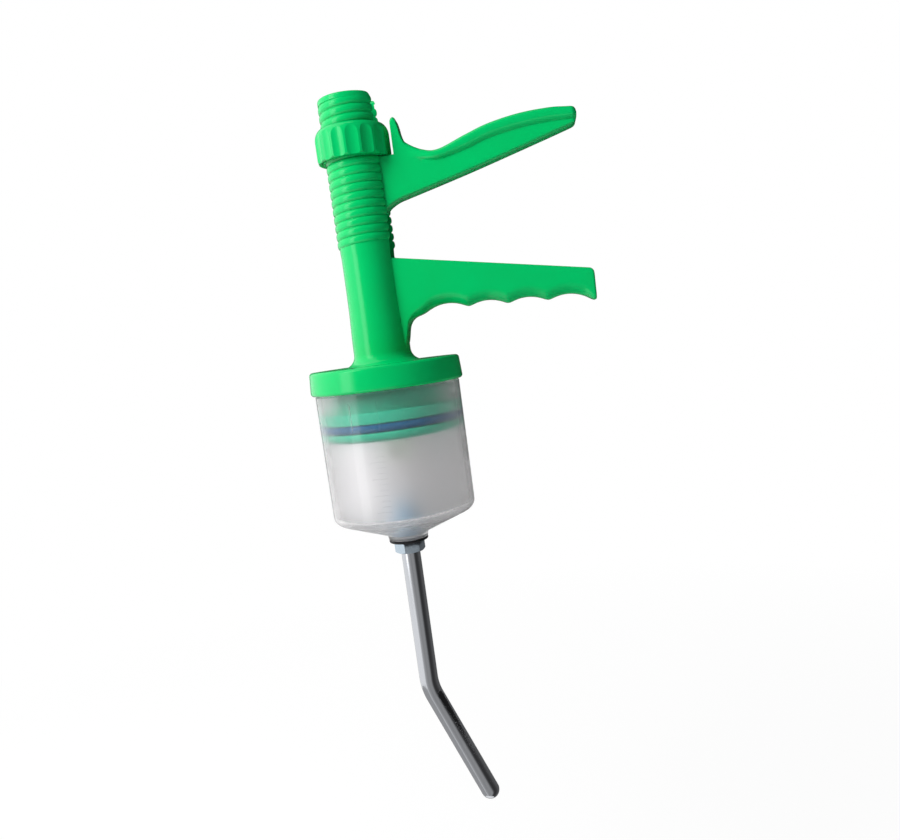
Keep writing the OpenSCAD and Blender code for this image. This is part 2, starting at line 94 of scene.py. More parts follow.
class CardUse(str, Enum):
    """Where a glowing card of painted reflection or painted shade shows."""

    REFLECTED = "reflected"
    BEHIND = "behind"


class Ramp(str, Enum):
    """Which way a card's greys run."""

    ACROSS = "LINEAR"
    AROUND = "RADIAL"


# Lines and curves


def arc(cx: float, cz: float, r: float, a0: float, a1: float, n: int) -> Line:
    """Points of an arc.

    Args:
        cx, cz: centre. r: radius. a0, a1: first and last angle in degrees. n: number of steps.
    Returns:
        n + 1 points.
    """
    turns = [math.radians(a0 + (a1 - a0) * i / n) for i in range(n + 1)]
    return [(cx + r * math.cos(t), cz + r * math.sin(t)) for t in turns]


def flow(knots: Line, n: int = 8) -> Line:
    """A smooth curve through knots.

    Args:
        knots: the points to pass through. n: steps between two knots.
    Returns:
        The points of the curve, both ends included.
    """
    out: Line = []
    for i in range(len(knots) - 1):
        a, b = knots[max(i - 1, 0)], knots[i]
        c, d = knots[i + 1], knots[min(i + 2, len(knots) - 1)]
        for k in range(n):
            t = k / n
            out.append(tuple(
                0.5 * (2 * q + (r - p) * t + (2 * p - 5 * q + 4 * r - s) * t * t
                       + (3 * q - p - 3 * r + s) * t ** 3)
                for p, q, r, s in zip(a, b, c, d)))
    return out + [knots[-1]]


def level(curve: Line, x: float) -> float:
    """Height of a curve at x.

    Args:
        curve: points with rising x. x: the place asked for.
    Returns:
        The height, held at the ends.
    """
    if x <= curve[0][0]:
        return curve[0][1]
    for (xa, za), (xb, zb) in zip(curve, curve[1:]):
        if x <= xb:
            return za + (zb - za) * (x - xa) / max(xb - xa, 1e-9)
    return curve[-1][1]


def ease(low: float, high: float, x: float) -> float:
    """A smooth step from 0 at low to 1 at high."""
    t = min(max((x - low) / (high - low), 0.0), 1.0)
    return t * t * (3 - 2 * t)


def row(start: float, step: float, count: int) -> list[float]:
    """Evenly spaced places."""
    return [start + step * i for i in range(count)]


def mirrored(x: float, half: Line) -> list[Triple]:
    """A closed upright ring at x, from the (y, z) points of its right half."""
    return [(x, y, z) for y, z in half] + [(x, -y, z) for y, z in half[-2:0:-1]]


# Bench work


def clear_selection() -> None:
    """Deselects everything, so that the next operator acts on one piece only."""
    bpy.ops.object.select_all(action="DESELECT")


def pick(piece: Piece) -> None:
    """Makes a piece the only selected one.

    Args:
        piece: the piece.
    """
    clear_selection()
    bpy.context.view_layer.objects.active = piece
    piece.select_set(True)


def named(piece: Piece, name: str) -> Piece:
    """Names a piece and its mesh."""
    piece.name = piece.data.name = name
    return piece


def select_all() -> None:
    """Selects all of the piece in edit mode."""
    bpy.ops.mesh.select_all(action="SELECT")


def enter_edit() -> None:
    """Enters edit mode with the whole piece selected."""
    bpy.ops.object.mode_set(mode="EDIT")
    select_all()


def leave_edit() -> None:
    """Leaves edit mode."""
    bpy.ops.object.mode_set(mode="OBJECT")


def push(step: Vector | Triple) -> None:
    """Extrudes what is selected by a step in metres."""
    bpy.ops.mesh.extrude_region_move(TRANSFORM_OT_translate={"value": step})


def close_shell(fill: bool = False) -> None:
    """Merges doubles, fills open ends if asked, turns the faces outward and leaves edit mode.

    Args:
        fill: whether open ends are filled.
    """
    select_all()
    bpy.ops.mesh.remove_doubles(threshold=MERGE)
    if fill:
        bpy.ops.mesh.fill_holes(sides=0)
        select_all()
    bpy.ops.mesh.normals_make_consistent(inside=False)
    leave_edit()


def modify(piece: Piece, kind: str, **settings: Any) -> Piece:
    """Adds a modifier to a piece and applies it.

    Args:
        piece: the piece. kind: the modifier's type. settings: its properties.
    Returns:
        The piece.
    """
    pick(piece)
    change = piece.modifiers.new(kind.lower(), kind)
    for key, value in settings.items():
        setattr(change, key, value)
    bpy.ops.object.modifier_apply(modifier=change.name)
    return piece


def trace(name: str, points: Line, closed: bool = True) -> Piece:
    """Draws a line in the XZ plane by extruding one point along it, and stays in edit mode.

    Args:
        name: the piece's name. points: (x, z) in millimetres. closed: whether the ends join.
    Returns:
        The new piece.
    """
    clear_selection()
    bpy.ops.mesh.primitive_plane_add(size=MM)
    piece = named(bpy.context.object, name)
    enter_edit()
    bpy.ops.mesh.select_mode(type="VERT")
    bpy.ops.mesh.merge(type="CENTER")
    spots = [Vector((x * MM, 0.0, z * MM)) for x, z in points]
    bpy.ops.transform.translate(value=spots[0])
    for here, there in zip(spots, spots[1:]):
        push(there - here)
    if closed:
        line = bmesh.from_edit_mesh(piece.data)
        line.verts.ensure_lookup_table()
        line.verts[0].select_set(True)
        line.verts[-1].select_set(True)
        bmesh.update_edit_mesh(piece.data)
        bpy.ops.mesh.edge_face_add()
    return piece


def spin_line(steps: int, angle: float) -> None:
    """Spins what is being drawn about the barrel's axis."""
    select_all()
    bpy.ops.mesh.spin(steps=steps, angle=angle, center=(0.0, 0.0, 0.0), axis=(0.0, 0.0, 1.0))


def turn(name: str, points: Line, steps: int = 144, closed: bool = True) -> Piece:
    """Spins a section about the barrel's axis.

    Args:
        name: the piece's name. points: (r, z) of the section. steps: facets round.
        closed: whether the section is a ring.
    Returns:
        The turned piece.
    """
    piece = trace(name, points, closed)
    spin_line(steps, math.tau)
    close_shell()
    return piece


def sweep(piece: Piece, angles: Pair, steps: int) -> None:
    """Spins the line that is being drawn through part of a turn, and stays in edit mode.

    Args:
        piece: the piece in edit mode, its line at angle 0. angles: where the sweep begins and
        ends, in degrees. steps: facets on the way.
    """
    leave_edit()
    # with no window the spin runs clockwise seen from above, so it starts from the far end
    piece.data.transform(Matrix.Rotation(math.radians(angles[1]), 4, "Z"))
    enter_edit()
    spin_line(steps, math.radians(angles[1] - angles[0]))


def wind(name: str, points: Line, turns: float, rise: float, steps: int) -> Piece:
    """Winds a closed section about the barrel's axis as a helix.

    Args:
        name: the piece's name. points: (r, z) of the section. turns: number of turns.
        rise: height of one turn. steps: rings in a turn.
    Returns:
        The wound piece, with closed ends.
    """
    piece = trace(name, points)
    leave_edit()
    rings = int(steps * turns)
    modify(piece, "SCREW", angle=math.tau * turns, screw_offset=rise * turns * MM, steps=rings,
           render_steps=rings)
    enter_edit()
    close_shell(fill=True)
    return piece


def loft(name: str, rings: list[list[Triple]]) -> Piece:
    """Skins a row of closed rings: a grid is wrapped round them and its ends are filled.

    Args:
        name: the piece's name. rings: points of each ring, all of one count.
    Returns:
        The closed piece.
    """
    around = len(rings[0])
    clear_selection()
    bpy.ops.mesh.primitive_grid_add(x_subdivisions=around, y_subdivisions=len(rings) - 1, size=1.0)
    piece = named(bpy.context.object, name)
    for i, ring in enumerate(rings):
        for k in range(around + 1):
            piece.data.vertices[i * (around + 1) + k].co = Vector(ring[k % around]) * MM
    enter_edit()
    close_shell(fill=True)
    return piece


def block(name: str, low: Triple, high: Triple) -> Piece:
    """Adds a box between two corners.

    Args:
        name: the piece's name. low, high: corners in millimetres.
    Returns:
        The box, with its place in its mesh.
    """
    clear_selection()
    bpy.ops.mesh.primitive_cube_add(size=1.0)
    piece = named(bpy.context.object, name)
    enter_edit()
    bpy.ops.transform.resize(value=[(b - a) * MM for a, b in zip(low, high)])
    bpy.ops.transform.translate(value=[(a + b) / 2 * MM for a, b in zip(low, high)])
    leave_edit()
    return piece


def plate(name: str, outline: Line, x0: float, x1: float) -> Piece:
    """Pushes an outline along X.

    Args:
        name: the piece's name. outline: (y, z) points. x0, x1: where the plate begins and ends.
    Returns:
        The closed plate.
    """
    piece = trace(name, outline)
    select_all()
    bpy.ops.mesh.edge_face_add()
    leave_edit()
    quarter = Matrix.Rotation(math.pi / 2, 4, "Z")
    piece.data.transform(Matrix.Translation((x0 * MM, 0.0, 0.0)) @ quarter)
    enter_edit()
    push(((x1 - x0) * MM, 0.0, 0.0))
    close_shell()
    return piece


def rod(name: str, radius: float, z0: float, z1: float, at: Pair = (0.0, 0.0),
        sides: int = 96) -> Piece:
    """Adds an upright cylinder.

    Args:
        name: the piece's name. radius, z0, z1: its size. at: x and y of its axis.
        sides: facets round.
    Returns:
        The cylinder, with its place in its mesh.
    """
    clear_selection()
    bpy.ops.mesh.primitive_cylinder_add(vertices=sides, radius=radius * MM, depth=(z1 - z0) * MM)
    piece = named(bpy.context.object, name)
    enter_edit()
    bpy.ops.transform.translate(value=(at[0] * MM, at[1] * MM, (z0 + z1) / 2 * MM))
    leave_edit()
    return piece


def combine(piece: Piece, tool: Piece, how: Join) -> Piece:
    """Joins, cuts or intersects a piece with a tool, which is used up.

    Args:
        piece: the piece that stays. tool: the other shape. how: the operation.
    Returns:
        The piece.
    """
    modify(piece, "BOOLEAN", operation=how.value, solver="EXACT", object=tool)
    bpy.data.objects.remove(tool, do_unlink=True)
    return piece


def soften(piece: Piece, width: float, segments: int, angle: float) -> Piece:
    """Rounds the sharp edges of a piece.

    Args:
        piece: the piece. width: radius in millimetres. segments: steps.
        angle: edges sharper than this, in degrees.
    Returns:
        The piece.
    """
    return modify(piece, "BEVEL", width=width * MM, segments=segments, limit_method="ANGLE",
                  angle_limit=math.radians(angle))


# Finishes


def linear(code: str) -> tuple[float, float, float, float]:
    """Turns an sRGB hex colour into linear RGBA."""
    parts = [int(code[i:i + 2], 16) / 255 for i in (1, 3, 5)]
    return (*[c / 12.92 if c <= 0.04045 else ((c + 0.055) / 1.055) ** 2.4 for c in parts], 1.0)


def add(tree: Tree, kind: str, sets: dict[Any, Any] | None = None,
        links: dict[Any, Socket] | None = None) -> Node:
    """Adds a node with its settings and links.

    Args:
        tree: the node tree. kind: the node's type. sets: properties or input values.
        links: inputs and their sources.
    Returns:
        The node.
    """
    node = tree.nodes.new(kind)
    for key, value in (sets or {}).items():
        if isinstance(key, str) and hasattr(node, key):
            setattr(node, key, value)
        else:
            node.inputs[key].default_value = value
    for key, source in (links or {}).items():
        tree.links.new(source, node.inputs[key])
    return node


def blank(name: str) -> tuple[Material, Tree, Node]:
    """Makes a material with one Principled shader.

    Args:
        name: the material's name.
    Returns:
        The material, its node tree and its shader.
    """
    material = bpy.data.materials.new(name)
    material.use_nodes = True
    return material, material.node_tree, material.node_tree.nodes["Principled BSDF"]


@dataclass(frozen=True)
class Finish:
    """What all finishes share: a pattern mixes two tones and varies the gloss, over a relief."""

    name: str
    light: str
    dark: str
    gloss: Pair

    def material(self) -> Material:
        """Builds the material, once.

        Returns:
            The material.
        """
        if self.name in bpy.data.materials:
            return bpy.data.materials[self.name]
        material, tree, shader = blank(self.name)
        self.shade(tree, shader, add(tree, "ShaderNodeTexCoord").outputs["Object"])
        return material

    def shade(self, tree: Tree, shader: Node, place: Socket) -> None:
        """Lays the finish on the shader, in each kind's own way."""
        raise NotImplementedError

    def surface(self, tree: Tree, shader: Node, pattern: Socket, height: Socket,
                relief: Pair) -> None:
        """Lays colour, gloss and relief on the shader.

        Args:
            tree, shader: the material's tree and its shader. pattern: what mixes the tones and
            varies the gloss. height: what the relief follows. relief: its strength and its depth
            in millimetres.
        """
        tone = add(tree, "ShaderNodeMix", {
            "data_type": "RGBA", 6: linear(self.light), 7: linear(self.dark)}, {0: pattern})
        shine = add(tree, "ShaderNodeMapRange", {
            "From Min": 0.3, "From Max": 0.7, "To Min": self.gloss[0], "To Max": self.gloss[1]},
            {"Value": pattern})
        bump = add(tree, "ShaderNodeBump", {"Strength": relief[0], "Distance": relief[1] * MM},
                   {"Height": height})
        tree.links.new(tone.outputs[2], shader.inputs["Base Color"])
        tree.links.new(shine.outputs["Result"], shader.inputs["Roughness"])
        tree.links.new(bump.outputs["Normal"], shader.inputs["Normal"])


@dataclass(frozen=True)
class MouldedPlastic(Finish):
    """Injection-moulded plastic: an even colour with faint flow marks and a fine skin."""

    flow_mm: float = 22.0
    skin_mm: float = 1.3
    skin_depth_mm: float = 0.012
    ior: float = 1.49

    def shade(self, tree: Tree, shader: Node, place: Socket) -> None:
        """Lays flow marks and skin on the shader.

        Args:
            tree, shader: the material's tree and its shader. place: the piece's coordinates.
        """
        marks = add(tree, "ShaderNodeTexNoise", {
            "Scale": 1 / (self.flow_mm * MM), "Detail": 4.0, "Roughness": 0.55, "Distortion": 0.6},
            {"Vector": place})
        # the true skin is about 0.1 mm and would not show, so it is drawn coarser
        skin = add(tree, "ShaderNodeTexNoise", {"Scale": 1 / (self.skin_mm * MM), "Detail": 2.0},
                   {"Vector": place})
        self.surface(tree, shader, marks.outputs["Fac"], skin.outputs["Fac"],
                     (0.35, self.skin_depth_mm))
        shader.inputs["IOR"].default_value = self.ior


@dataclass(frozen=True)
class FrostedPlastic(Finish):
    """Natural polypropylene: clear with a faint milk, glossy outside, frosted on its inner wall."""

    inside: Pair
    clear: float
    cloud_mm: float = 18.0
    skin_mm: float = 2.2
    skin_depth_mm: float = 0.02

    def shade(self, tree: Tree, shader: Node, place: Socket) -> None:
        """Lays milk, polish and frosting on the shader.

        Args:
            tree, shader: the material's tree and its shader. place: the piece's coordinates.
        """
        # flow streaks run up the wall, so the pattern is stretched along the axis
        along = add(tree, "ShaderNodeMapping", {"Scale": (1.0, 1.0, 0.3)}, {"Vector": place})
        cloud = add(tree, "ShaderNodeTexNoise", {"Scale": 1 / (self.cloud_mm * MM), "Detail": 3.0},
                    {"Vector": along.outputs["Vector"]}).outputs["Fac"]
        skin = add(tree, "ShaderNodeTexNoise", {"Scale": 1 / (self.skin_mm * MM), "Detail": 2.0},
                   {"Vector": place})
        self.surface(tree, shader, cloud, skin.outputs["Fac"], (0.15, self.skin_depth_mm))
        # the inner wall keeps the core's frosting, the outer wall shows the mould's polish
        polish = shader.inputs["Roughness"].links[0].from_socket
        frost = add(tree, "ShaderNodeMapRange", {
            "From Min": 0.3, "From Max": 0.7, "To Min": self.inside[0], "To Max": self.inside[1]},
            {"Value": cloud})
        inner = add(tree, "ShaderNodeAttribute", {"attribute_name": INNER_WALL})
        haze = add(tree, "ShaderNodeMix", {"data_type": "FLOAT"}, {
            0: inner.outputs["Fac"], 2: polish, 3: frost.outputs["Result"]})
        tree.links.new(haze.outputs[0], shader.inputs["Roughness"])
        shader.inputs["Transmission Weight"].default_value = self.clear
        shader.inputs["IOR"].default_value = 1.49


@dataclass(frozen=True)
class WorkedMetal(Finish):
    """Turned, drawn or plated metal: a bright reflection broken by fine tool lines."""

    line_mm: float
    stretch: Triple
    line_depth_mm: float = 0.004

    def shade(self, tree: Tree, shader: Node, place: Socket) -> None:
        """Lays tool lines on the shader, drawn out along one direction.

        Args:
            tree, shader: the material's tree and its shader. place: the piece's coordinates.
        """
        along = add(tree, "ShaderNodeMapping", {"Scale": self.stretch}, {"Vector": place})
        lines = add(tree, "ShaderNodeTexNoise", {"Scale": 1 / (self.line_mm * MM), "Detail": 3.0},
                    {"Vector": along.outputs["Vector"]}).outputs["Fac"]
        self.surface(tree, shader, lines, lines, (0.2, self.line_depth_mm))
        shader.inputs["Metallic"].default_value = 1.0


# glossy green polypropylene: saturated, with a crisp highlight
GREEN = MouldedPlastic("green_polypropylene_gloss", "#00BE66", "#00B35D", (0.13, 0.19))
# natural polypropylene of the barrel: what lies behind shows, a little greyed and blurred
MILKY = FrostedPlastic("natural_polypropylene_frosted", "#FAF8F8", "#F4F4F6", (0.1, 0.16),
                       (0.5, 0.6), 0.99)
# mint-green acetal of the piston: satin, paler and bluer than the handle
PISTON = MouldedPlastic("mint_acetal_satin", "#24AE8A", "#1CA07E", (0.35, 0.45), ior=1.3)
# navy nitrile of the piston ring: pressed wet against the wall, so it hardly shines
NAVY = MouldedPlastic("navy_nitrile_rubber", "#005880", "#004C70", (0.5, 0.65), 9.0, 0.9, ior=1.2)
# black nitrile of the seals: matt and nearly even
BLACK = MouldedPlastic("black_nitrile_rubber", "#15161A", "#0D0E11", (0.5, 0.65), 9.0, 0.9)
# off-white nylon of bush and valves: a warm, soft sheen
NYLON = MouldedPlastic("white_nylon_satin", "#EFEDE4", "#E5E3D9", (0.38, 0.5))
# blue acetal of the inlet valve: a clear colour with a satin shine
BLUE = MouldedPlastic("blue_acetal_satin", "#2F6FA8", "#285F93", (0.35, 0.45))
# ice-blue acetal of the outlet cage: only a faint blue spot through the frosted wall
ICE = MouldedPlastic("ice_blue_acetal_satin", "#6F94AD", "#668AA1", (0.35, 0.45))
# The tool lines of all metals are finer than a pixel, so they are drawn coarser.
# drawn and polished stainless tube: lines run along the tube
POLISHED = WorkedMetal("stainless_tube_polished", "#D6D8DC", "#C6C9CF", (0.08, 0.16), 0.9,
                       (1.0, 1.0, 0.02))
# bright zinc plate on the hexagon nut: its passivation leaves a cool blue cast
PLATED = WorkedMetal("bright_plated_steel", "#CCDAE5", "#B8C8D5", (0.14, 0.24), 1.1,
                     (1.0, 1.0, 1.0))
# turned steel of the rod and lock nut: lines run round it
TURNED = WorkedMetal("turned_steel", "#BFC1C5", "#A9ACB1", (0.22, 0.34), 0.9, (0.05, 0.05, 1.0))
# hard-drawn spring wire: grey and half bright
WIRE = WorkedMetal("drawn_spring_wire", "#B8BBC0", "#A0A4AB", (0.2, 0.32), 0.8, (1.0, 1.0, 1.0))
# turned brass of the hose spigot: warm yellow, lines run round it
BRASS = WorkedMetal("turned_brass", "#D9B56A", "#C79F52", (0.2, 0.32), 0.9, (0.05, 0.05, 1.0))


def paint(piece: Piece, finish: Finish) -> None:
    """Gives a piece the material of a finish."""
    piece.data.materials.clear()
    piece.data.materials.append(finish.material())


def dress(piece: Piece, finish: Finish, body: Body, slot: str, *nodes: str) -> None:
    """Finishes a piece: smooth shading, material, body, and hides the nodes it stands for.

    Args:
        piece: the new piece. finish: its finish. body: the body it rides on.
        slot: not used. nodes: the frame's nodes that it replaces.
    """
    pick(piece)
    bpy.ops.object.shade_smooth_by_angle(angle=SMOOTH_BELOW)
    paint(piece, finish)
    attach(piece, body.value)
    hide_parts(*nodes)
    LOG.info("%s on %s, %d faces", piece.name, body.value, len(piece.data.polygons))


def coat(node: str, finish: Finish) -> None:
    """Gives a carried-over node its finish."""
    paint(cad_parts[node], finish)
    LOG.info("%s kept, %s", node, finish.name)


# Sub-assemblies


@dataclass
class Handle:
    """The moulded handle: threaded tube, screw cap and finger grip in one piece."""

    crest_r: float = 14.6
    root_r: float = 13.8
    bore_r: float = 11.0
    bore_edge: float = 0.5
    tube_line: tuple[Pair, ...] = ((14.47, -26.0), (14.4, -23.1), (14.1, -15.0), (13.85, -8.1),
                                   (13.7, 5.0), (13.65, 18.2))
    foot_r: float = 14.5
    foot_fillet: float = 6.0
    lip_r: float = 14.4
    lip_z: float = 90.6
    lip_edge: float = 1.0
    tube_top: float = 93.6
    pitch: float = 4.0
    thread_z0: float = 20.5
    thread_turns: float = 17.0
    ridge_share: float = 0.49
    slot_w: float = 13.0
    slot_floor: float = 15.5
    slot_mouth: float = 4.0
    cap_r: float = 39.0
    cap_draft: float = 0.6
    cap_in: float = 36.85
    cap_z0: float = -47.5
    cap_z1: float = -35.6
    cap_edge: float = 1.7
    cap_low_edge: float = 1.6
    cap_under: float = -37.8
    bush_r: float = 7.3
    ledge_z: float = -27.5
    grip_t: float = 13.0
    grip_x0: float = 11.6
    grip_reach: float = 109.7
    grip_fall: float = 18.0
    fall_run: float = 95.6
    grip_end_h: float = 14.5
    grip_edge: float = 1.1
    fingers: int = 4
    finger_end: float = 14.4
    finger_pitch: float = 19.8
    finger_r: float = 19.0
    finger_top: float = 3.5
    finger_climb: float = 1.15
    finger_edge: float = 5.8
    tip_level: float = -1.3
    tip_blend: float = 1.1
    root_blend: float = 1.6
    root_fade: Triple = (27.0, 33.0, 8.0)
    finger_fade: Triple = (17.0, 23.0, 16.0)
    end_top: Pair = (2.2, 2.3)
    end_low: Pair = (0.9, 1.0)
    end_side: Pair = (1.1, 1.2)
    root_line: tuple[Pair, ...] = ((11.6, -29.5), (13.2, -28.6), (14.2, -26.4), (14.9, -23.6),
                                   (15.5, -20.6), (16.4, -18.1), (18.0, -16.0), (20.2, -14.7),
                                   (23.1, -14.0), (26.0, -13.7))

    def tube(self) -> Piece:
        """Turns the tube and the cap.

        Returns:
            The turned piece.
        """
        top_r = self.cap_r - self.cap_draft - self.cap_edge
        low, lip, fillet = self.cap_low_edge, self.lip_edge, self.foot_fillet
        outer = (
            [(self.cap_in, self.cap_z0)]
            + arc(self.cap_r - low, self.cap_z0 + low, low, -90, 0, 7)
            + arc(top_r, self.cap_z1 - self.cap_edge, self.cap_edge, 0, 90, 9)
            + arc(self.foot_r + fillet, self.cap_z1 + fillet, fillet, 270, 180, 12)
            + flow(list(self.tube_line), 5)
            + [(self.root_r, self.thread_z0), (self.root_r, self.lip_z),
               (self.lip_r, self.lip_z + 0.4)]
            + arc(self.lip_r - lip, self.tube_top - lip, lip, 0, 90, 6))
        inner = [
            (self.bore_r + self.bore_edge, self.tube_top),
            (self.bore_r, self.tube_top - self.bore_edge), (self.bore_r, self.ledge_z),
            (self.bush_r, self.ledge_z), (self.bush_r, self.cap_under),
            (self.cap_in, self.cap_under)]
        return turn("handle_moulding", outer + inner)

    def thread(self) -> Piece:
        """Winds the thread: low broad ridges with narrow grooves, sunk a little into the tube.

        Returns:
            The wound ridge.
        """
        base = self.root_r - 0.5
        height = self.crest_r - self.root_r + 0.03
        half = self.pitch * self.ridge_share
        flank = [0.3, 0.55, 0.72, 0.84, 0.93, 1]
        shares = [-t for t in reversed(flank)] + [0] + flank
        crown = [(self.crest_r - height * abs(t) ** 3, t * half) for t in shares]
        section = [(base, -half)] + crown + [(base, half)]
        start = self.thread_z0 + 0.5 * self.pitch
        return wind("thread", [(r, z + start) for r, z in section], self.thread_turns, self.pitch,
                    72)

    def finger_line(self, x: float) -> float:
        """Lower edge of the grip at x, with rounded tips between the finger grooves.

        Args:
            x: a place along the reach.
        Returns:
            The edge's height.
        """
        low = self.slot_floor - self.grip_fall - self.grip_end_h
        total = math.exp(self.tip_blend * self.tip_level)
        for i in range(self.fingers):
            dx = x - (self.grip_reach - self.finger_end - i * self.finger_pitch)
            across = min(abs(dx), self.finger_r - 1)
            drop = self.finger_r - math.sqrt(self.finger_r ** 2 - across ** 2)
            total += math.exp(self.tip_blend * (self.finger_top + self.finger_climb * i - drop))
        return low + math.log(total) / self.tip_blend

    def end_round(self, x: float, depth: float, length: float) -> float:
        """How far a face has rounded off at x, on its way to the grip's end."""
        t = min(max((x - self.grip_reach + length) / length, 0.0), 0.999)
        return depth * (1 - math.sqrt(1 - t * t))

    def grip_section(self, x: float, root: Line) -> list[Triple]:
        """One upright section of the grip.

        Args:
            x: its place along the reach. root: the lower edge near the tube.
        Returns:
            The points round it.
        """
        top = self.slot_floor - self.grip_fall * (x - self.grip_x0) / self.fall_run
        # the root's curve and the first groove run into each other
        *root_run, root_drop = self.root_fade
        *finger_run, finger_drop = self.finger_fade
        edges = (level(root, x) - root_drop * ease(*root_run, x),
                 self.finger_line(x) - finger_drop * (1 - ease(*finger_run, x)))
        apart = abs(edges[0] - edges[1])
        low = max(edges) + math.log(1 + math.exp(-self.root_blend * apart)) / self.root_blend
        top -= self.end_round(x, *self.end_top)
        low += self.end_round(x, *self.end_low)
        half = self.grip_t / 2 - self.end_round(x, *self.end_side)
        # the lower rounding is narrower at the root and at the end
        edge = self.finger_edge * (0.45 + 0.55 * ease(15, 30, x)) * (1 - 0.55 * ease(104, 109, x))
        crown = arc(half - self.grip_edge, top - self.grip_edge, self.grip_edge, 90, 0, 6)
        foot = arc(half - edge, low + edge, edge, 0, -90, 12)
        z0, z1 = crown[-1][1], foot[0][1]
        side = [(half, z0 + (z1 - z0) * k / 6) for k in range(1, 6)]
        return mirrored(x, [(0.0, top)] + crown + side + foot + [(0.0, low)])

    def grip(self) -> Piece:
        """Lofts the finger grip from upright sections, closer together at root and end.

        Returns:
            The closed grip.
        """
        root = flow(list(self.root_line), 6)
        end = 108.5
        stops = row(self.grip_x0, 0.2, 53) + row(22.2, 0.6, 141) + row(106.6, 0.25, 8)
        stops += [end + (self.grip_reach - end) * math.sin(math.pi / 18 * k) for k in range(10)]
        return loft("grip", [self.grip_section(x, root) for x in stops])

    def build(self) -> None:
        """Joins tube, thread and grip, cuts the lever's slot and dresses the moulding."""
        piece = self.tube()
        combine(piece, self.thread(), Join.ADD)
        combine(piece, self.grip(), Join.ADD)
        half, mouth = self.slot_w / 2, self.slot_mouth
        lead = arc(half + mouth, self.tube_top - mouth, mouth, 180, 100, 8)
        right = [(half, self.slot_floor)] + lead + [(lead[-1][0] + 0.5, self.tube_top + 1)]
        outline = right + [(-y, z) for y, z in reversed(right)]
        combine(piece, plate("slot", outline, 0.0, self.crest_r + 2), Join.CUT)
        dress(piece, GREEN, Body.HANDLE, "green_plastic", "handle_body")


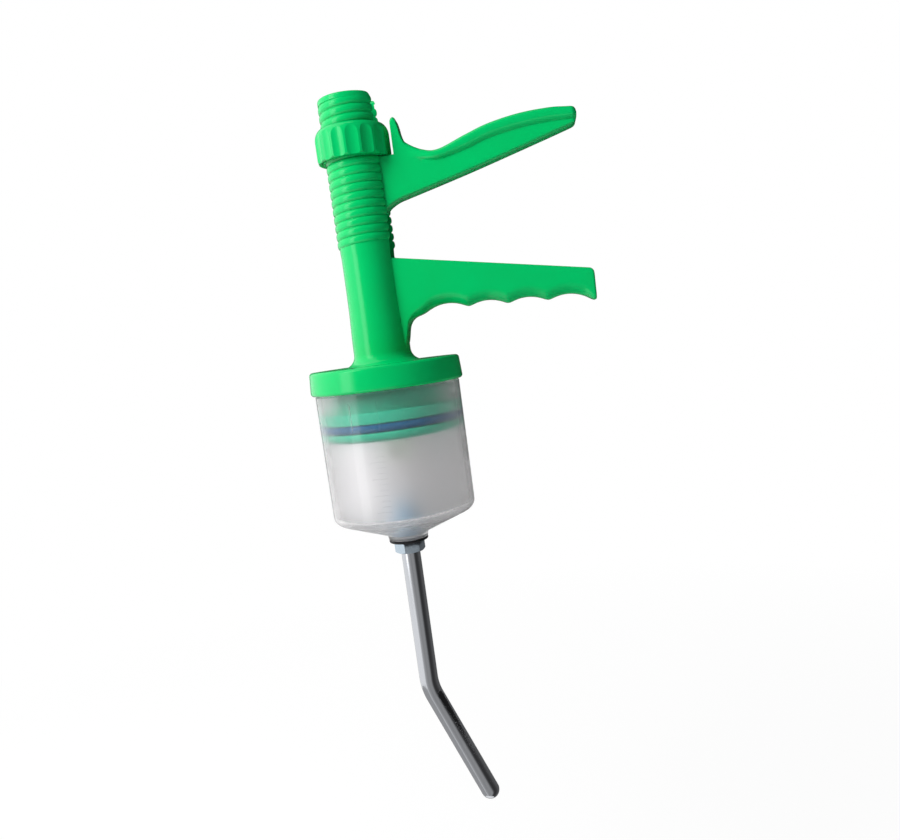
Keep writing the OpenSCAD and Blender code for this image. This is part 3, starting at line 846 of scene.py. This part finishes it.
@dataclass
class Lever:
    """The squeeze lever: a plate with a raised palm rim, a thumb hook and a root on the rod."""

    hub_z0: float = 37.2
    hub_z1: float = 63.6
    hub_r: float = 10.6
    bore_r: float = 4.55
    web_t: float = 11.8
    web_edge: float = 0.9
    rim_w: float = 15.3
    rim_edge: float = 2.3
    rim_run: Pair = (26.0, 42.0)
    rim_bulge: float = 3.0
    reach: float = 109.0
    end_x: float = 106.4
    end_share: float = 0.55
    hook_x: float = 20.1
    crest_r: float = 14.6

    def top_line(self) -> Line:
        """Upper outline from the thumb hook to the end.

        Returns:
            (x, z) points.
        """
        up, hook = self.hub_z1, self.hook_x
        return flow([
            (hook, up + 15.9), (hook + 0.6, up + 16.9), (hook + 1.7, up + 17.25),
            (hook + 2.7, up + 16.2), (hook + 3.4, up + 13.6), (hook + 3.9, up + 10.4),
            (hook + 4.9, up + 7.1), (hook + 6.8, up + 4.4), (hook + 13.8, up + 0.3),
            (hook + 21.4, up - 0.9), (55, up + 3.6), (67, up + 7.2), (82, up + 9.5),
            (96, up + 9.9), (104.0, up + 9.2), (107.2, up + 8.8), (108.4, up + 8.1),
            (self.reach, up + 6.6)], 8)

    def crease_line(self) -> Line:
        """Lower border of the palm rim.

        Returns:
            (x, z) points.
        """
        up, hook = self.hub_z1, self.hook_x
        return flow([
            (hook, up - 1.5), (hook + 6, up - 2.6), (hook + 13.8, up - 4.6),
            (hook + 21.4, up - 5.6), (55, up - 3.2), (67, up + 0.4), (82, up + 2.6),
            (96, up + 3.4), (104.0, up + 3.2), (self.reach, up + 3.6)], 8)

    def low_line(self) -> Line:
        """Lower outline from the root to the end.

        Returns:
            (x, z) points.
        """
        up, low, wall = self.hub_z1, self.hub_z0, self.crest_r
        return flow([
            (4.0, low), (wall - 2.6, low), (wall - 2.0, low + 0.9), (wall - 0.2, low + 2.6),
            (wall + 2.4, low + 4.1), (wall + 5.4, low + 5.3), (wall + 10.0, low + 6.4),
            (55, up - 12.6), (87, up - 4.1), (102.7, up + 0.2), (107.3, up + 1.7),
            (108.5, up + 3.0), (self.reach, up + 5.0)], 6)

    def stops(self) -> list[float]:
        """Places of the upright sections: close together at the hook and at the rounded end.

        Returns:
            Their x, rising.
        """
        root = [4.0, 8.0] + row(11.0, 0.3, 30) + [self.hook_x - 0.02]
        hook = row(self.hook_x, 0.12, 34) + row(24.2, 0.3, 14)
        arm = row(28.5, 0.8, 97) + [self.end_x]
        end = self.reach - self.end_x
        return root + hook + arm + [
            self.end_x + end * math.sin(math.pi / 20 * k) for k in range(1, 11)]

    def section(self, x: float, lines: tuple[Line, Line, Line]) -> list[Triple]:
        """One upright section of the lever.

        Args:
            x: its place along the reach. lines: the top, crease and lower outlines.
        Returns:
            The points round it.
        """
        low = level(lines[2], x)
        end = min(max((x - self.end_x) / (self.reach - self.end_x), 0.0), 0.995)
        shrink = self.end_share + (1 - self.end_share) * math.sqrt(1 - end ** 2)
        web = self.web_t / 2 * shrink
        rim = web + (self.rim_w - self.web_t) / 2 * ease(*self.rim_run, x) * shrink
        top = self.hub_z1 if x < self.hook_x else level(lines[0], x)
        top = max(top, low + 0.6)
        crease = min(max(level(lines[1], x), low + 0.3), top - 0.3)
        tip = min(self.rim_edge, 0.45 * (top - crease), 0.6 * rim)
        foot = min(self.web_edge, 0.3 * (crease - low))
        z0, z1 = top - tip, low + foot
        right = [(0.0, top), (0.5 * (rim - tip), top)] + arc(rim - tip, z0, tip, 90, 0, 8)
        # the rim bulges and turns in sharply at the crease
        right += [(rim - (rim - web) * (k / 10) ** self.rim_bulge, z0 + (crease - z0) * k / 10)
                  for k in range(1, 11)]
        right += [(web, crease + (z1 - crease) * k / 5) for k in range(1, 5)]
        right += arc(web - foot, z1, foot, 0, -90, 4) + [(0.0, low)]
        return mirrored(x, right)

    def build(self) -> None:
        """Lofts the arm, joins the hub, bores it for the rod and dresses it."""
        lines = (self.top_line(), self.crease_line(), self.low_line())
        piece = loft("squeeze_lever_piece", [self.section(x, lines) for x in self.stops()])
        combine(piece, rod("hub", self.hub_r, self.hub_z0, self.hub_z1), Join.ADD)
        combine(piece, rod("rod_way", self.bore_r, self.hub_z0 - 5, self.hub_z1 + 5), Join.CUT)
        dress(piece, GREEN, Body.PLUNGER, "green_plastic", "squeeze_lever")


@dataclass
class DoseNut:
    """The fluted dose nut: broad shallow flutes with a narrow rib between each two."""

    outer_r: float = 18.4
    bore_r: float = 14.65
    recess_r: float = 16.4
    recess_z: float = 65.9
    recess_edge: float = 0.3
    z0: float = 64.0
    z1: float = 79.8
    low_edge: float = 1.3
    shoulder: Pair = (3.7, 6.2)
    flutes: int = 16
    flute_r: float = 8.0
    flute_depth: float = 0.85
    turned: float = -1.6
    rib_edge: float = 0.35

    def build(self) -> None:
        """Turns the nut, cuts its flutes, rounds the ribs and dresses it."""
        wide, tall = self.shoulder
        bend = [math.radians(a) for a in range(0, 81, 8)]
        low = self.low_edge
        section = (
            [(self.bore_r, self.recess_z), (self.recess_r, self.recess_z),
             (self.recess_r, self.z0 + self.recess_edge),
             (self.recess_r + self.recess_edge, self.z0)]
            + arc(self.outer_r - low, self.z0 + low, low, -90, 0, 6)
            + [(self.outer_r - wide * (1 - math.cos(a)), self.z1 - tall * (1 - math.sin(a)))
               for a in bend]
            + [(self.bore_r, self.z1)])
        piece = turn("dose_nut_piece", section, 192)
        reach = self.outer_r - self.flute_depth + self.flute_r
        for i in range(self.flutes):
            angle = math.tau * (i + 0.5) / self.flutes + math.radians(self.turned)
            spot = (reach * math.cos(angle), reach * math.sin(angle))
            cutter = rod("flute", self.flute_r, self.z0 - 1, self.z1 + 1, spot, 128)
            combine(piece, cutter, Join.CUT)
        soften(piece, self.rib_edge, 3, 14.0)
        dress(piece, GREEN, Body.NUT, "green_plastic", "dose_nut")


@dataclass
class Barrel:
    """The milky measuring barrel with its cone floor, neck and raised dose marks."""

    outer_r: float = 36.95
    wall: float = 2.8
    collar_r: float = 35.95
    collar_z1: float = -39.4
    collar_edge: float = 0.4
    shoulder_z: float = -47.8
    shoulder_edge: float = 0.5
    corner_z: float = -113.4
    corner_r: float = 4.5
    inner_corner_r: float = 2.5
    floor_t: float = 2.2
    cone: float = 22.4
    neck_r: float = 10.4
    neck_z0: float = -126.943
    neck_edge: float = 0.5
    neck_fillet: float = 2.4
    hole_r: float = 5.3
    pocket_r: float = 8.35
    pocket_z: float = -123.243
    panel_angles: Pair = (-112.6, -90.3)
    panel_z: Pair = (-65.9, -51.8)
    mark_w: float = 0.55
    mark_h: float = 0.42
    mark_sunk: float = 0.5
    dose_z: float = -73.1
    dose_step: float = 2.73
    doses: int = 13
    dose_spans: Pair = (10.5, 5.5)

    def section(self) -> Line:
        """Section of the barrel, outside down and inside up.

        Returns:
            (r, z) points.
        """
        bend = 90 - self.cone
        lean = math.tan(math.radians(self.cone))
        reach = math.tan(math.radians(bend / 2))
        bore = self.outer_r - self.wall
        neck_z1 = self.corner_z - (self.outer_r - self.neck_r) * lean
        corner, inner_r, fillet = self.corner_r, self.inner_corner_r, self.neck_fillet
        inner_z = self.corner_z + self.floor_t
        return (
            [(bore, self.collar_z1), (self.collar_r - self.collar_edge, self.collar_z1),
             (self.collar_r, self.collar_z1 - self.collar_edge), (self.collar_r, self.shoulder_z),
             (self.outer_r - self.shoulder_edge, self.shoulder_z),
             (self.outer_r, self.shoulder_z - self.shoulder_edge)]
            + arc(self.outer_r - corner, self.corner_z + corner * reach, corner, 0, -bend, 14)
            + arc(self.neck_r + fillet, neck_z1 - fillet * reach, fillet, 180 - bend, 180, 10)
            + arc(self.neck_r - self.neck_edge, self.neck_z0 + self.neck_edge, self.neck_edge,
                  0, -90, 4)
            + [(self.hole_r, self.neck_z0), (self.hole_r, self.pocket_z),
               (self.pocket_r, self.pocket_z),
               (self.pocket_r, inner_z - (bore - self.pocket_r) * lean)]
            + arc(bore - inner_r, inner_z + inner_r * reach, inner_r, -bend, 0, 10))

    def mark(self, angles: Pair, heights: Pair) -> Piece:
        """Sweeps one raised line on the wall.

        Args:
            angles: where it begins and ends round the axis, in degrees.
            heights: its lower and upper edge.
        Returns:
            The line, sunk a little into the wall.
        """
        low, high = self.outer_r - self.mark_sunk, self.outer_r + self.mark_h
        z0, z1 = heights
        piece = trace("mark", [(low, z0), (high - 0.1, z0), (high, z0 + 0.12), (high, z1 - 0.12),
                               (high - 0.1, z1), (low, z1)])
        sweep(piece, angles, max(2, int((angles[1] - angles[0]) / 1.5)))
        close_shell(fill=True)
        return piece

    def raise_marks(self, shell: Piece) -> None:
        """Adds the panel's outline and the dose lines to the wall.

        Args:
            shell: the turned barrel.
        """
        a0, a1 = self.panel_angles
        z0, z1 = self.panel_z
        thin = math.degrees(self.mark_w / self.outer_r)
        panel = self.mark((a0, a1), (z0, z0 + self.mark_w))
        combine(panel, self.mark((a0, a1), (z1 - self.mark_w, z1)), Join.ADD)
        for start in (a0 + 0.01, a1 - thin - 0.01):
            combine(panel, self.mark((start, start + thin), (z0 + 0.2, z1 - 0.2)), Join.ADD)
        combine(shell, panel, Join.ADD)
        for i in range(self.doses):
            z = self.dose_z - i * self.dose_step
            span = self.dose_spans[0 if i % 3 == 0 else 1]
            line = self.mark((a1 - span, a1), (z - self.mark_w / 2, z + self.mark_w / 2))
            combine(shell, line, Join.ADD)

    def note_inner_wall(self, shell: Piece) -> None:
        """Marks the points of the inner wall and of the neck for the finish.

        Args:
            shell: the barrel with its marks.
        """
        bore = (self.outer_r - self.wall + 0.05) * MM
        lean = math.tan(math.radians(self.cone))
        note = shell.data.attributes.new(INNER_WALL, "FLOAT", "POINT")
        for i, point in enumerate(shell.data.vertices):
            r = math.hypot(point.co.x, point.co.y)
            # a cone between the floor's two faces parts inside from outside
            floor = (self.corner_z + 2.0 - (self.outer_r - self.wall) * lean) * MM + r * lean
            neck = r < (self.neck_r + self.neck_fillet) * MM
            note.data[i].value = 1.0 if neck or (r < bore and point.co.z > floor) else 0.0

    def build(self) -> None:
        """Turns the barrel, raises its marks and dresses it."""
        piece = turn("barrel_shell", self.section(), 192)
        self.raise_marks(piece)
        self.note_inner_wall(piece)
        # the lamps shine through the clear wall on to the piston
        piece.visible_shadow = False
        dress(piece, MILKY, Body.HANDLE, "clear_plastic", "barrel")


@dataclass
class Piston:
    """The piston: a rimmed drum, a sealing ring and a lower disc, clamped on the rod."""

    piston_r: float = 33.75
    drum_r: float = 27.67
    drum_t: float = 3.0
    boss_r: float = 29.67
    bore_r: float = 4.55
    low_z0: float = -72.0
    low_z1: float = -67.3
    groove_z1: float = -62.9
    web_h: float = 4.0
    hub_z1: float = -51.9
    hub_r: float = 10.5
    drum_z1: float = -48.4
    rim_h: float = 5.6
    edge: float = 0.8
    groove_edge: float = 0.4
    fillet: float = 1.2
    ring_c: float = 31.92
    ring_z: float = -65.1
    ring_s: float = 4.4
    disc_edge: float = 3.4

    def drum(self) -> Line:
        """Section of the upper half.

        Returns:
            (r, z) points.
        """
        rim_z, web_z = self.groove_z1 + self.rim_h, self.groove_z1 + self.web_h
        edge, slim, fillet = self.edge, self.groove_edge, self.fillet
        return (
            [(self.bore_r, self.low_z1), (self.boss_r, self.low_z1), (self.boss_r, self.groove_z1)]
            + arc(self.piston_r - slim, self.groove_z1 + slim, slim, -90, 0, 3)
            + arc(self.piston_r - edge, rim_z - edge, edge, 0, 90, 5)
            + arc(self.drum_r + fillet, rim_z + fillet, fillet, 270, 180, 5)
            + arc(self.drum_r - edge, self.drum_z1 - edge, edge, 0, 90, 5)
            + [(self.drum_r - self.drum_t, self.drum_z1), (self.drum_r - self.drum_t - 0.4, web_z),
               (self.hub_r + 0.5, web_z), (self.hub_r, self.hub_z1), (self.bore_r, self.hub_z1)])

    def disc(self) -> Line:
        """Section of the lower half.

        Returns:
            (r, z) points.
        """
        edge, slim = self.disc_edge, self.groove_edge
        return (
            [(self.bore_r, self.low_z1), (self.bore_r, self.low_z0)]
            + arc(self.piston_r - edge, self.low_z0 + edge, edge, -90, 0, 9)
            + arc(self.piston_r - slim, self.low_z1 - slim, slim, 0, 90, 3))

    def build(self) -> None:
        """Turns and dresses the three pieces."""
        ring = arc(self.ring_c, self.ring_z, self.ring_s / 2, 0, 345, 23)
        for name, section, finish, slot, node in (
            ("piston_drum", self.drum(), PISTON, "piston_plastic", "piston_upper"),
            ("piston_seal", ring, NAVY, "navy_rubber", "piston_ring"),
            ("piston_disc", self.disc(), PISTON, "piston_plastic", "piston_lower"),
        ):
            dress(turn(name, section), finish, Body.PLUNGER, slot, node)


@dataclass
class Spring:
    """A round-wire coil spring."""

    name: str
    node: str
    body: Body
    joint: str
    radius: float
    wire_r: float
    z0: float
    z1: float
    turns: float
    travel: float

    def build(self) -> None:
        """Winds and dresses the spring, and gives it a mesh of its own."""
        length = self.z1 - self.z0
        rise = (length - 2 * self.wire_r) / self.turns
        section = arc(self.radius, self.z0 + self.wire_r, self.wire_r, 0, 324, 9)
        piece = wind(self.name, section, self.turns, rise, 40)
        dress(piece, WIRE, self.body, "spring_steel", self.node)
        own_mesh(piece)


@dataclass
class Nozzle:
    """The bent metal nozzle with its hexagon nut and the seal under the barrel's neck."""

    tube_r: float = 5.0
    top_z: float = -119.543
    bend_z: float = -204.712
    bend_r: float = 30.0
    bend: float = 22.0
    lower: float = 61.3
    tip_hole_r: float = 1.8
    tip_hole_depth: float = 6.0
    fit: float = 0.02
    seal_r: float = 10.3
    seal_z0: float = -128.543
    seal_z1: float = -126.943
    hex_af: float = 14.0
    hex_z0: float = -134.443
    hex_turned: float = -12.2
    hex_chamfer: float = 0.75
    hex_edge: float = 0.22

    def tube(self) -> Piece:
        """Draws the tube: a ring pushed down, spun through the bend and drawn in to a round tip.

        Returns:
            The closed tube.
        """
        clear_selection()
        bpy.ops.mesh.primitive_circle_add(vertices=64, radius=self.tube_r * MM)
        piece = named(bpy.context.object, "nozzle_tube")
        enter_edit()
        bpy.ops.transform.translate(value=(0.0, 0.0, self.top_z * MM))
        push((0.0, 0.0, (self.bend_z - self.top_z) * MM))
        lean = math.radians(self.bend)
        bpy.ops.mesh.spin(steps=18, angle=lean, axis=(0.0, 1.0, 0.0),
                          center=(self.bend_r * MM, 0.0, self.bend_z * MM))
        run = Vector((math.sin(lean), 0.0, -math.cos(lean)))
        push(run * self.lower * MM)
        centre = Vector((self.bend_r * (1 - math.cos(lean)), 0.0,
                         self.bend_z - self.bend_r * math.sin(lean))) + run * self.lower
        last = math.acos(self.tip_hole_r / self.tube_r)
        steps, size, depth = 9, self.tube_r, 0.0
        for k in range(1, steps + 1):
            angle = last * k / steps
            new_size, new_depth = self.tube_r * math.cos(angle), self.tube_r * math.sin(angle)
            push(run * (new_depth - depth) * MM)
            bpy.ops.transform.resize(value=(new_size / size,) * 3,
                                     center_override=(centre + run * new_depth) * MM)
            size, depth = new_size, new_depth
        push(run * -self.tip_hole_depth * MM)
        close_shell(fill=True)
        return piece

    def hexagon(self) -> Piece:
        """Cuts the hexagon nut, with chamfered corners.

        Returns:
            The nut.
        """
        corner, flat = self.hex_af / math.sqrt(3), self.hex_af / 2 - 0.1
        z0, z1, wide = self.hex_z0, self.seal_z0, corner + 0.1
        nut = rod("nozzle_hex", corner, z0, z1, sides=6)
        nut.data.transform(Matrix.Rotation(math.radians(self.hex_turned), 4, "Z"))
        crown = turn("crown", [
            (0.0, z0), (flat, z0), (wide, z0 + self.hex_chamfer), (wide, z1 - self.hex_chamfer),
            (flat, z1), (0.0, z1)], 96, False)
        combine(nut, crown, Join.COMMON)
        combine(nut, rod("nut_way", self.tube_r + self.fit, z0 - 1, z1 + 1), Join.CUT)
        return soften(nut, self.hex_edge, 2, 25.0)

    def seal(self) -> Piece:
        """Turns the seal, with a rounded rim.

        Returns:
            The seal.
        """
        edge = (self.seal_z1 - self.seal_z0) / 2 - 0.05
        inner, rim = self.tube_r + self.fit, self.seal_r - edge
        return turn("neck_washer", (
            [(inner, self.seal_z1), (inner, self.seal_z0)]
            + arc(rim, self.seal_z0 + edge, edge, -90, 0, 6)
            + arc(rim, self.seal_z1 - edge, edge, 0, 90, 6)), 112)

    def build(self) -> None:
        """Makes and dresses tube, nut and seal."""
        dress(self.tube(), POLISHED, Body.HANDLE, "chromed_metal", "nozzle")
        dress(self.hexagon(), PLATED, Body.HANDLE, "chromed_metal", "nozzle_nut")
        dress(self.seal(), BLACK, Body.HANDLE, "black_rubber", "neck_seal")


# Studio


@dataclass
class Studio:
    """Camera, soft light, pale floor and white surroundings."""

    eye: Triple = (74.333, -435.982, -29.099)
    yaw: float = -6.316
    pitch: float = -8.703
    roll: float = 7.604
    lens: float = 34.252
    shift: float = 0.06
    floor_z: float = -400.0
    room: float = 0.24
    aim: Triple = (0.03, 0.0, -0.03)

    def camera(self) -> None:
        """Sets the camera at the photograph's viewing angle."""
        yaw, pitch, roll = (math.radians(a) for a in (self.yaw, self.pitch, self.roll))
        ahead = Vector((math.sin(yaw) * math.cos(pitch), math.cos(yaw) * math.cos(pitch),
                        math.sin(pitch)))
        right = Vector((math.cos(yaw), -math.sin(yaw), 0.0))
        down = ahead.cross(right)
        side = right * math.cos(roll) + down * math.sin(roll)
        up = right * math.sin(roll) - down * math.cos(roll)
        spin = Matrix((side, up, -ahead)).transposed().to_4x4()
        lens = bpy.data.cameras.new("camera")
        lens.sensor_width = 36.0
        lens.sensor_fit = "HORIZONTAL"
        lens.lens = self.lens
        # the picture is cut a little above the middle of the lens
        lens.shift_y = self.shift
        lens.clip_start = 0.01
        camera = bpy.data.objects.new("camera", lens)
        bpy.context.scene.collection.objects.link(camera)
        camera.matrix_world = Matrix.Translation(Vector(self.eye) * MM) @ spin
        bpy.context.scene.camera = camera

    def lamp(self, name: str, around: float, height: float, size: Pair, power: float,
             use: LampUse) -> None:
        """Adds a soft box that looks at the object from 1 m.

        Args:
            name: the lamp's name. around, height: its direction from the object, in degrees from
            +X and up. size: in metres. power: in watts. use: what it is for.
        """
        light = bpy.data.lights.new(name, "AREA")
        light.shape = "RECTANGLE"
        light.size, light.size_y = size
        light.energy = power
        lamp = bpy.data.objects.new(name, light)
        bpy.context.scene.collection.objects.link(lamp)
        turned, lift = math.radians(around), math.radians(height)
        ray = Vector((math.cos(turned) * math.cos(lift), math.sin(turned) * math.cos(lift),
                      math.sin(lift)))
        lamp.location = ray + Vector(self.aim)
        lamp.rotation_euler = (-ray).to_track_quat("-Z", "Y").to_euler()
        lamp.visible_camera = lamp.visible_transmission = False
        lamp.visible_glossy = use is LampUse.SHINE
        lamp.visible_diffuse = use is LampUse.LIGHT

    def seen_ray(self, tree: Tree) -> Socket:
        """1 for rays of the eye, also by way of metal and glass.

        Args:
            tree: the node tree that asks.
        Returns:
            The socket that says it.
        """
        path = add(tree, "ShaderNodeLightPath")
        seen = path.outputs["Is Camera Ray"]
        for other in ("Is Transmission Ray", "Is Glossy Ray"):
            seen = add(tree, "ShaderNodeMath", {"operation": "MAXIMUM"},
                       {0: seen, 1: path.outputs[other]}).outputs[0]
        return seen

    def surroundings(self) -> None:
        """Makes the world: white to the eye, a plain grey room to the object."""
        world = bpy.data.worlds.new("studio")
        bpy.context.scene.world = world
        world.use_nodes = True
        tree = world.node_tree
        tree.nodes.clear()
        room, white = (
            add(tree, "ShaderNodeBackground", {"Color": linear(code), "Strength": strength})
            for code, strength in (("#F4F6F8", self.room), ("#FFFFFF", 1.0)))
        mix = add(tree, "ShaderNodeMixShader", {}, {
            0: self.seen_ray(tree), 1: room.outputs[0], 2: white.outputs[0]})
        add(tree, "ShaderNodeOutputWorld", {}, {"Surface": mix.outputs[0]})

    def floor(self) -> None:
        """Lays the pale floor, which keeps the object's shadow and runs out to white."""
        clear_selection()
        bpy.ops.mesh.primitive_plane_add(size=12.0)
        plane = named(bpy.context.object, "floor")
        enter_edit()
        bpy.ops.transform.translate(value=(0.0, 0.0, self.floor_z * MM))
        leave_edit()
        material, tree, shader = blank("matt_white_paper")
        shader.inputs["Base Color"].default_value = linear("#F2F2F2")
        shader.inputs["Roughness"].default_value = 0.9
        place = add(tree, "ShaderNodeTexCoord").outputs["Object"]
        flat = add(tree, "ShaderNodeVectorMath", {"operation": "MULTIPLY", 1: (1.0, 1.0, 0.0)},
                   {0: place})
        away = add(tree, "ShaderNodeVectorMath", {"operation": "LENGTH"}, {0: flat.outputs[0]})
        share = add(tree, "ShaderNodeMapRange", {
            "From Min": 0.25, "From Max": 0.9, "To Min": 0.9, "To Max": 1.0},
            {"Value": away.outputs["Value"]})
        share = add(tree, "ShaderNodeMath", {"operation": "MULTIPLY"}, {
            0: share.outputs[0], 1: self.seen_ray(tree)})
        white = add(tree, "ShaderNodeEmission", {"Color": linear("#FFFFFF"), "Strength": 1.0})
        mix = add(tree, "ShaderNodeMixShader", {}, {
            0: share.outputs[0], 1: shader.outputs[0], 2: white.outputs[0]})
        tree.links.new(mix.outputs[0], tree.nodes["Material Output"].inputs["Surface"])
        plane.data.materials.append(material)

    def glow(self, name: str, stops: Line, ramp: Ramp, strength: float) -> Material:
        """A plain emission with a ramp of greys.

        Args:
            name: the material's name. stops: place and grey level, in rising order.
            ramp: which way they run. strength: level of a grey of 1.
        Returns:
            The material.
        """
        material = bpy.data.materials.new(name)
        material.use_nodes = True
        tree = material.node_tree
        tree.nodes.clear()
        place = add(tree, "ShaderNodeTexCoord").outputs["Object"]
        if ramp is Ramp.ACROSS:
            # 0 to 1 from -100 mm to 100 mm
            place = add(tree, "ShaderNodeMapping", {
                "Location": (0.5, 0.0, 0.0), "Scale": (5.0, 1.0, 1.0)},
                {"Vector": place}).outputs["Vector"]
        way = add(tree, "ShaderNodeTexGradient", {"gradient_type": ramp.value}, {"Vector": place})
        greys = add(tree, "ShaderNodeValToRGB", {}, {"Fac": way.outputs["Fac"]})
        keys = greys.color_ramp.elements
        keys[0].position, keys[1].position = stops[0][0], stops[-1][0]
        for at, _ in stops[1:-1]:
            keys.new(at)
        for key, (_, grey) in zip(keys, stops):
            key.color = (grey, grey, grey, 1.0)
        light = add(tree, "ShaderNodeEmission", {"Strength": strength},
                    {"Color": greys.outputs["Color"]})
        add(tree, "ShaderNodeOutputMaterial", {}, {"Surface": light.outputs[0]})
        return material

    def card(self, piece: Piece, use: CardUse, stops: Line, ramp: Ramp,
             strength: float = 1.0) -> None:
        """Makes a piece a glowing card that only reflections or only clear plastic show: painted
        reflection or painted shade.

        Args:
            piece: the card. use: where it shows. stops, ramp, strength: its greys, as for glow.
        """
        piece.data.materials.append(self.glow(piece.name + "_card", stops, ramp, strength))
        piece.visible_camera = piece.visible_diffuse = piece.visible_shadow = False
        piece.visible_glossy = use is CardUse.REFLECTED
        piece.visible_transmission = use is CardUse.BEHIND

    def painted_reflection_card(self, name: str, profile: Line, angles: Pair, greys: Line) -> None:
        """Stands a glowing card round the object that only reflections show, a painted reflection
        on gloss and metal.

        Args:
            name: the card's name. profile: (r, z) knots of its section. angles: where it begins
            and ends, in degrees. greys: angle and grey level, in rising order.
        """
        piece = trace(name, flow(profile, 6), False)
        sweep(piece, angles, 56)
        leave_edit()
        # the gradient's 0.5 lies on +X and a full turn is 1
        stops = [((angle / 360 + 0.5) % 1.0, grey) for angle, grey in greys]
        self.card(piece, CardUse.REFLECTED, stops, Ramp.AROUND)

    def cards(self) -> None:
        """Sets the glowing cards: painted reflections on gloss and metal, and painted shade behind
        the clear barrel.
        """
        # painted reflection: the dark dome darkens what the green gloss reflects, to keep the green
        # deep
        self.painted_reflection_card("dome", [(1185.0, -262.0), (1450.0, 100.0), (1400.0, 650.0), (1150.0, 1050.0),
                           (650.0, 1350.0), (150.0, 1450.0)], (-128.0, 125.0),
                  [(-128, 0.08), (-100, 0.03), (-70, 0.01), (85, 0.02), (110, 0.08), (125, 0.4)])
        # painted reflection: the graded bowl paints the metal's light and dark bands, and the well
        # those of its lower run
        self.painted_reflection_card("bowl", [(60.0, -388.0), (600.0, -384.0), (1150.0, -290.0), (1190.0, -264.0)],
                  (-128.0, 125.0),
                  [(-128, 0.85), (-117, 0.5), (-104, 0.4), (-90, 0.33), (-68, 0.37), (-56, 0.33),
                   (-44, 0.09), (-30, 0.04), (-4, 0.06), (16, 0.11), (40, 0.13), (64, 0.13),
                   (100, 0.16), (125, 0.5)])
        self.painted_reflection_card("well", [(60.0, -388.0), (200.0, -387.5), (350.0, -387.0)], (125.0, 232.0),
                  [(-180, 0.42), (179, 0.42)])
        # painted shade: the dark apron, seen only in reflections, keeps the pale bowl out of the
        # handles' under-edges so that they show dark
        apron = plate("apron", [(-101.0, 10.0), (-100.0, 10.0), (-100.0, -139.0), (60.0, -139.0),
                                (60.0, -140.0), (-101.0, -140.0)], 40.0, 140.0)
        self.card(apron, CardUse.REFLECTED, [(0.0, 0.02), (1.0, 0.02)], Ramp.ACROSS)
        # painted shade: a glowing card close behind the barrel, seen only through its clear wall,
        # darker toward the side away from the lamp
        shade = block("shade", (-110.0, 56.0, -230.0), (110.0, 57.0, -30.0))
        self.card(shade, CardUse.BEHIND,
                  [(0.0, 1.0), (0.23, 0.95), (0.33, 0.58), (0.42, 0.24), (0.5, 0.17),
                   (0.63, 0.16), (0.8, 0.23), (1.0, 0.29)], Ramp.ACROSS, 2.2)

    def build(self) -> None:
        """Sets up the whole studio."""
        self.camera()
        self.surroundings()
        self.floor()
        self.cards()
        self.lamp("key_front_left", -136, 33, (0.5, 0.7), 13.4, LampUse.LIGHT)
        self.lamp("fill_back_left", 165, 20, (0.5, 0.8), 4.0, LampUse.LIGHT)
        self.lamp("fill_back_right", 105, 30, (0.5, 0.8), 4.0, LampUse.LIGHT)
        self.lamp("streak_left", -142, 4, (0.3, 1.6), 2.0, LampUse.SHINE)
        bpy.context.scene.view_settings.view_transform = "Standard"


def main() -> None:
    """Builds every sub-assembly in order and dresses the nodes that are kept."""
    logging.basicConfig(level=logging.INFO, format="%(name)s: %(message)s")
    for part in (
        Studio(), Handle(), Lever(), DoseNut(), Barrel(), Piston(), Nozzle(),
        Spring("return_coil", "return_spring", Body.HANDLE, "squeeze",
               8.25, 0.8, -27.5, 37.2, 10, 20.0),
        Spring("inlet_coil", "inlet_spring", Body.PLUNGER, "inlet_valve_lift",
               2.6, 0.3, -84.0, -78.6, 4, 1.5),
        Spring("outlet_coil", "outlet_spring", Body.HANDLE, "outlet_valve_lift",
               4.0, 0.3, -119.543, -114.843, 4, 1.5),
    ):
        part.build()
    for node, finish in {
        "rod_bush": NYLON, "barrel_gasket": BLACK, "stop_washer": GREEN, "piston_rod": TURNED,
        "lock_nut": TURNED, "hose_spigot": BRASS, "spigot_seal": BLACK, "rod_seal": BLACK,
        "inlet_cage": NYLON, "inlet_poppet": BLUE, "outlet_cage": ICE, "outlet_poppet": NYLON,
    }.items():
        coat(node, finish)


if __name__ == "__main__":
    main()
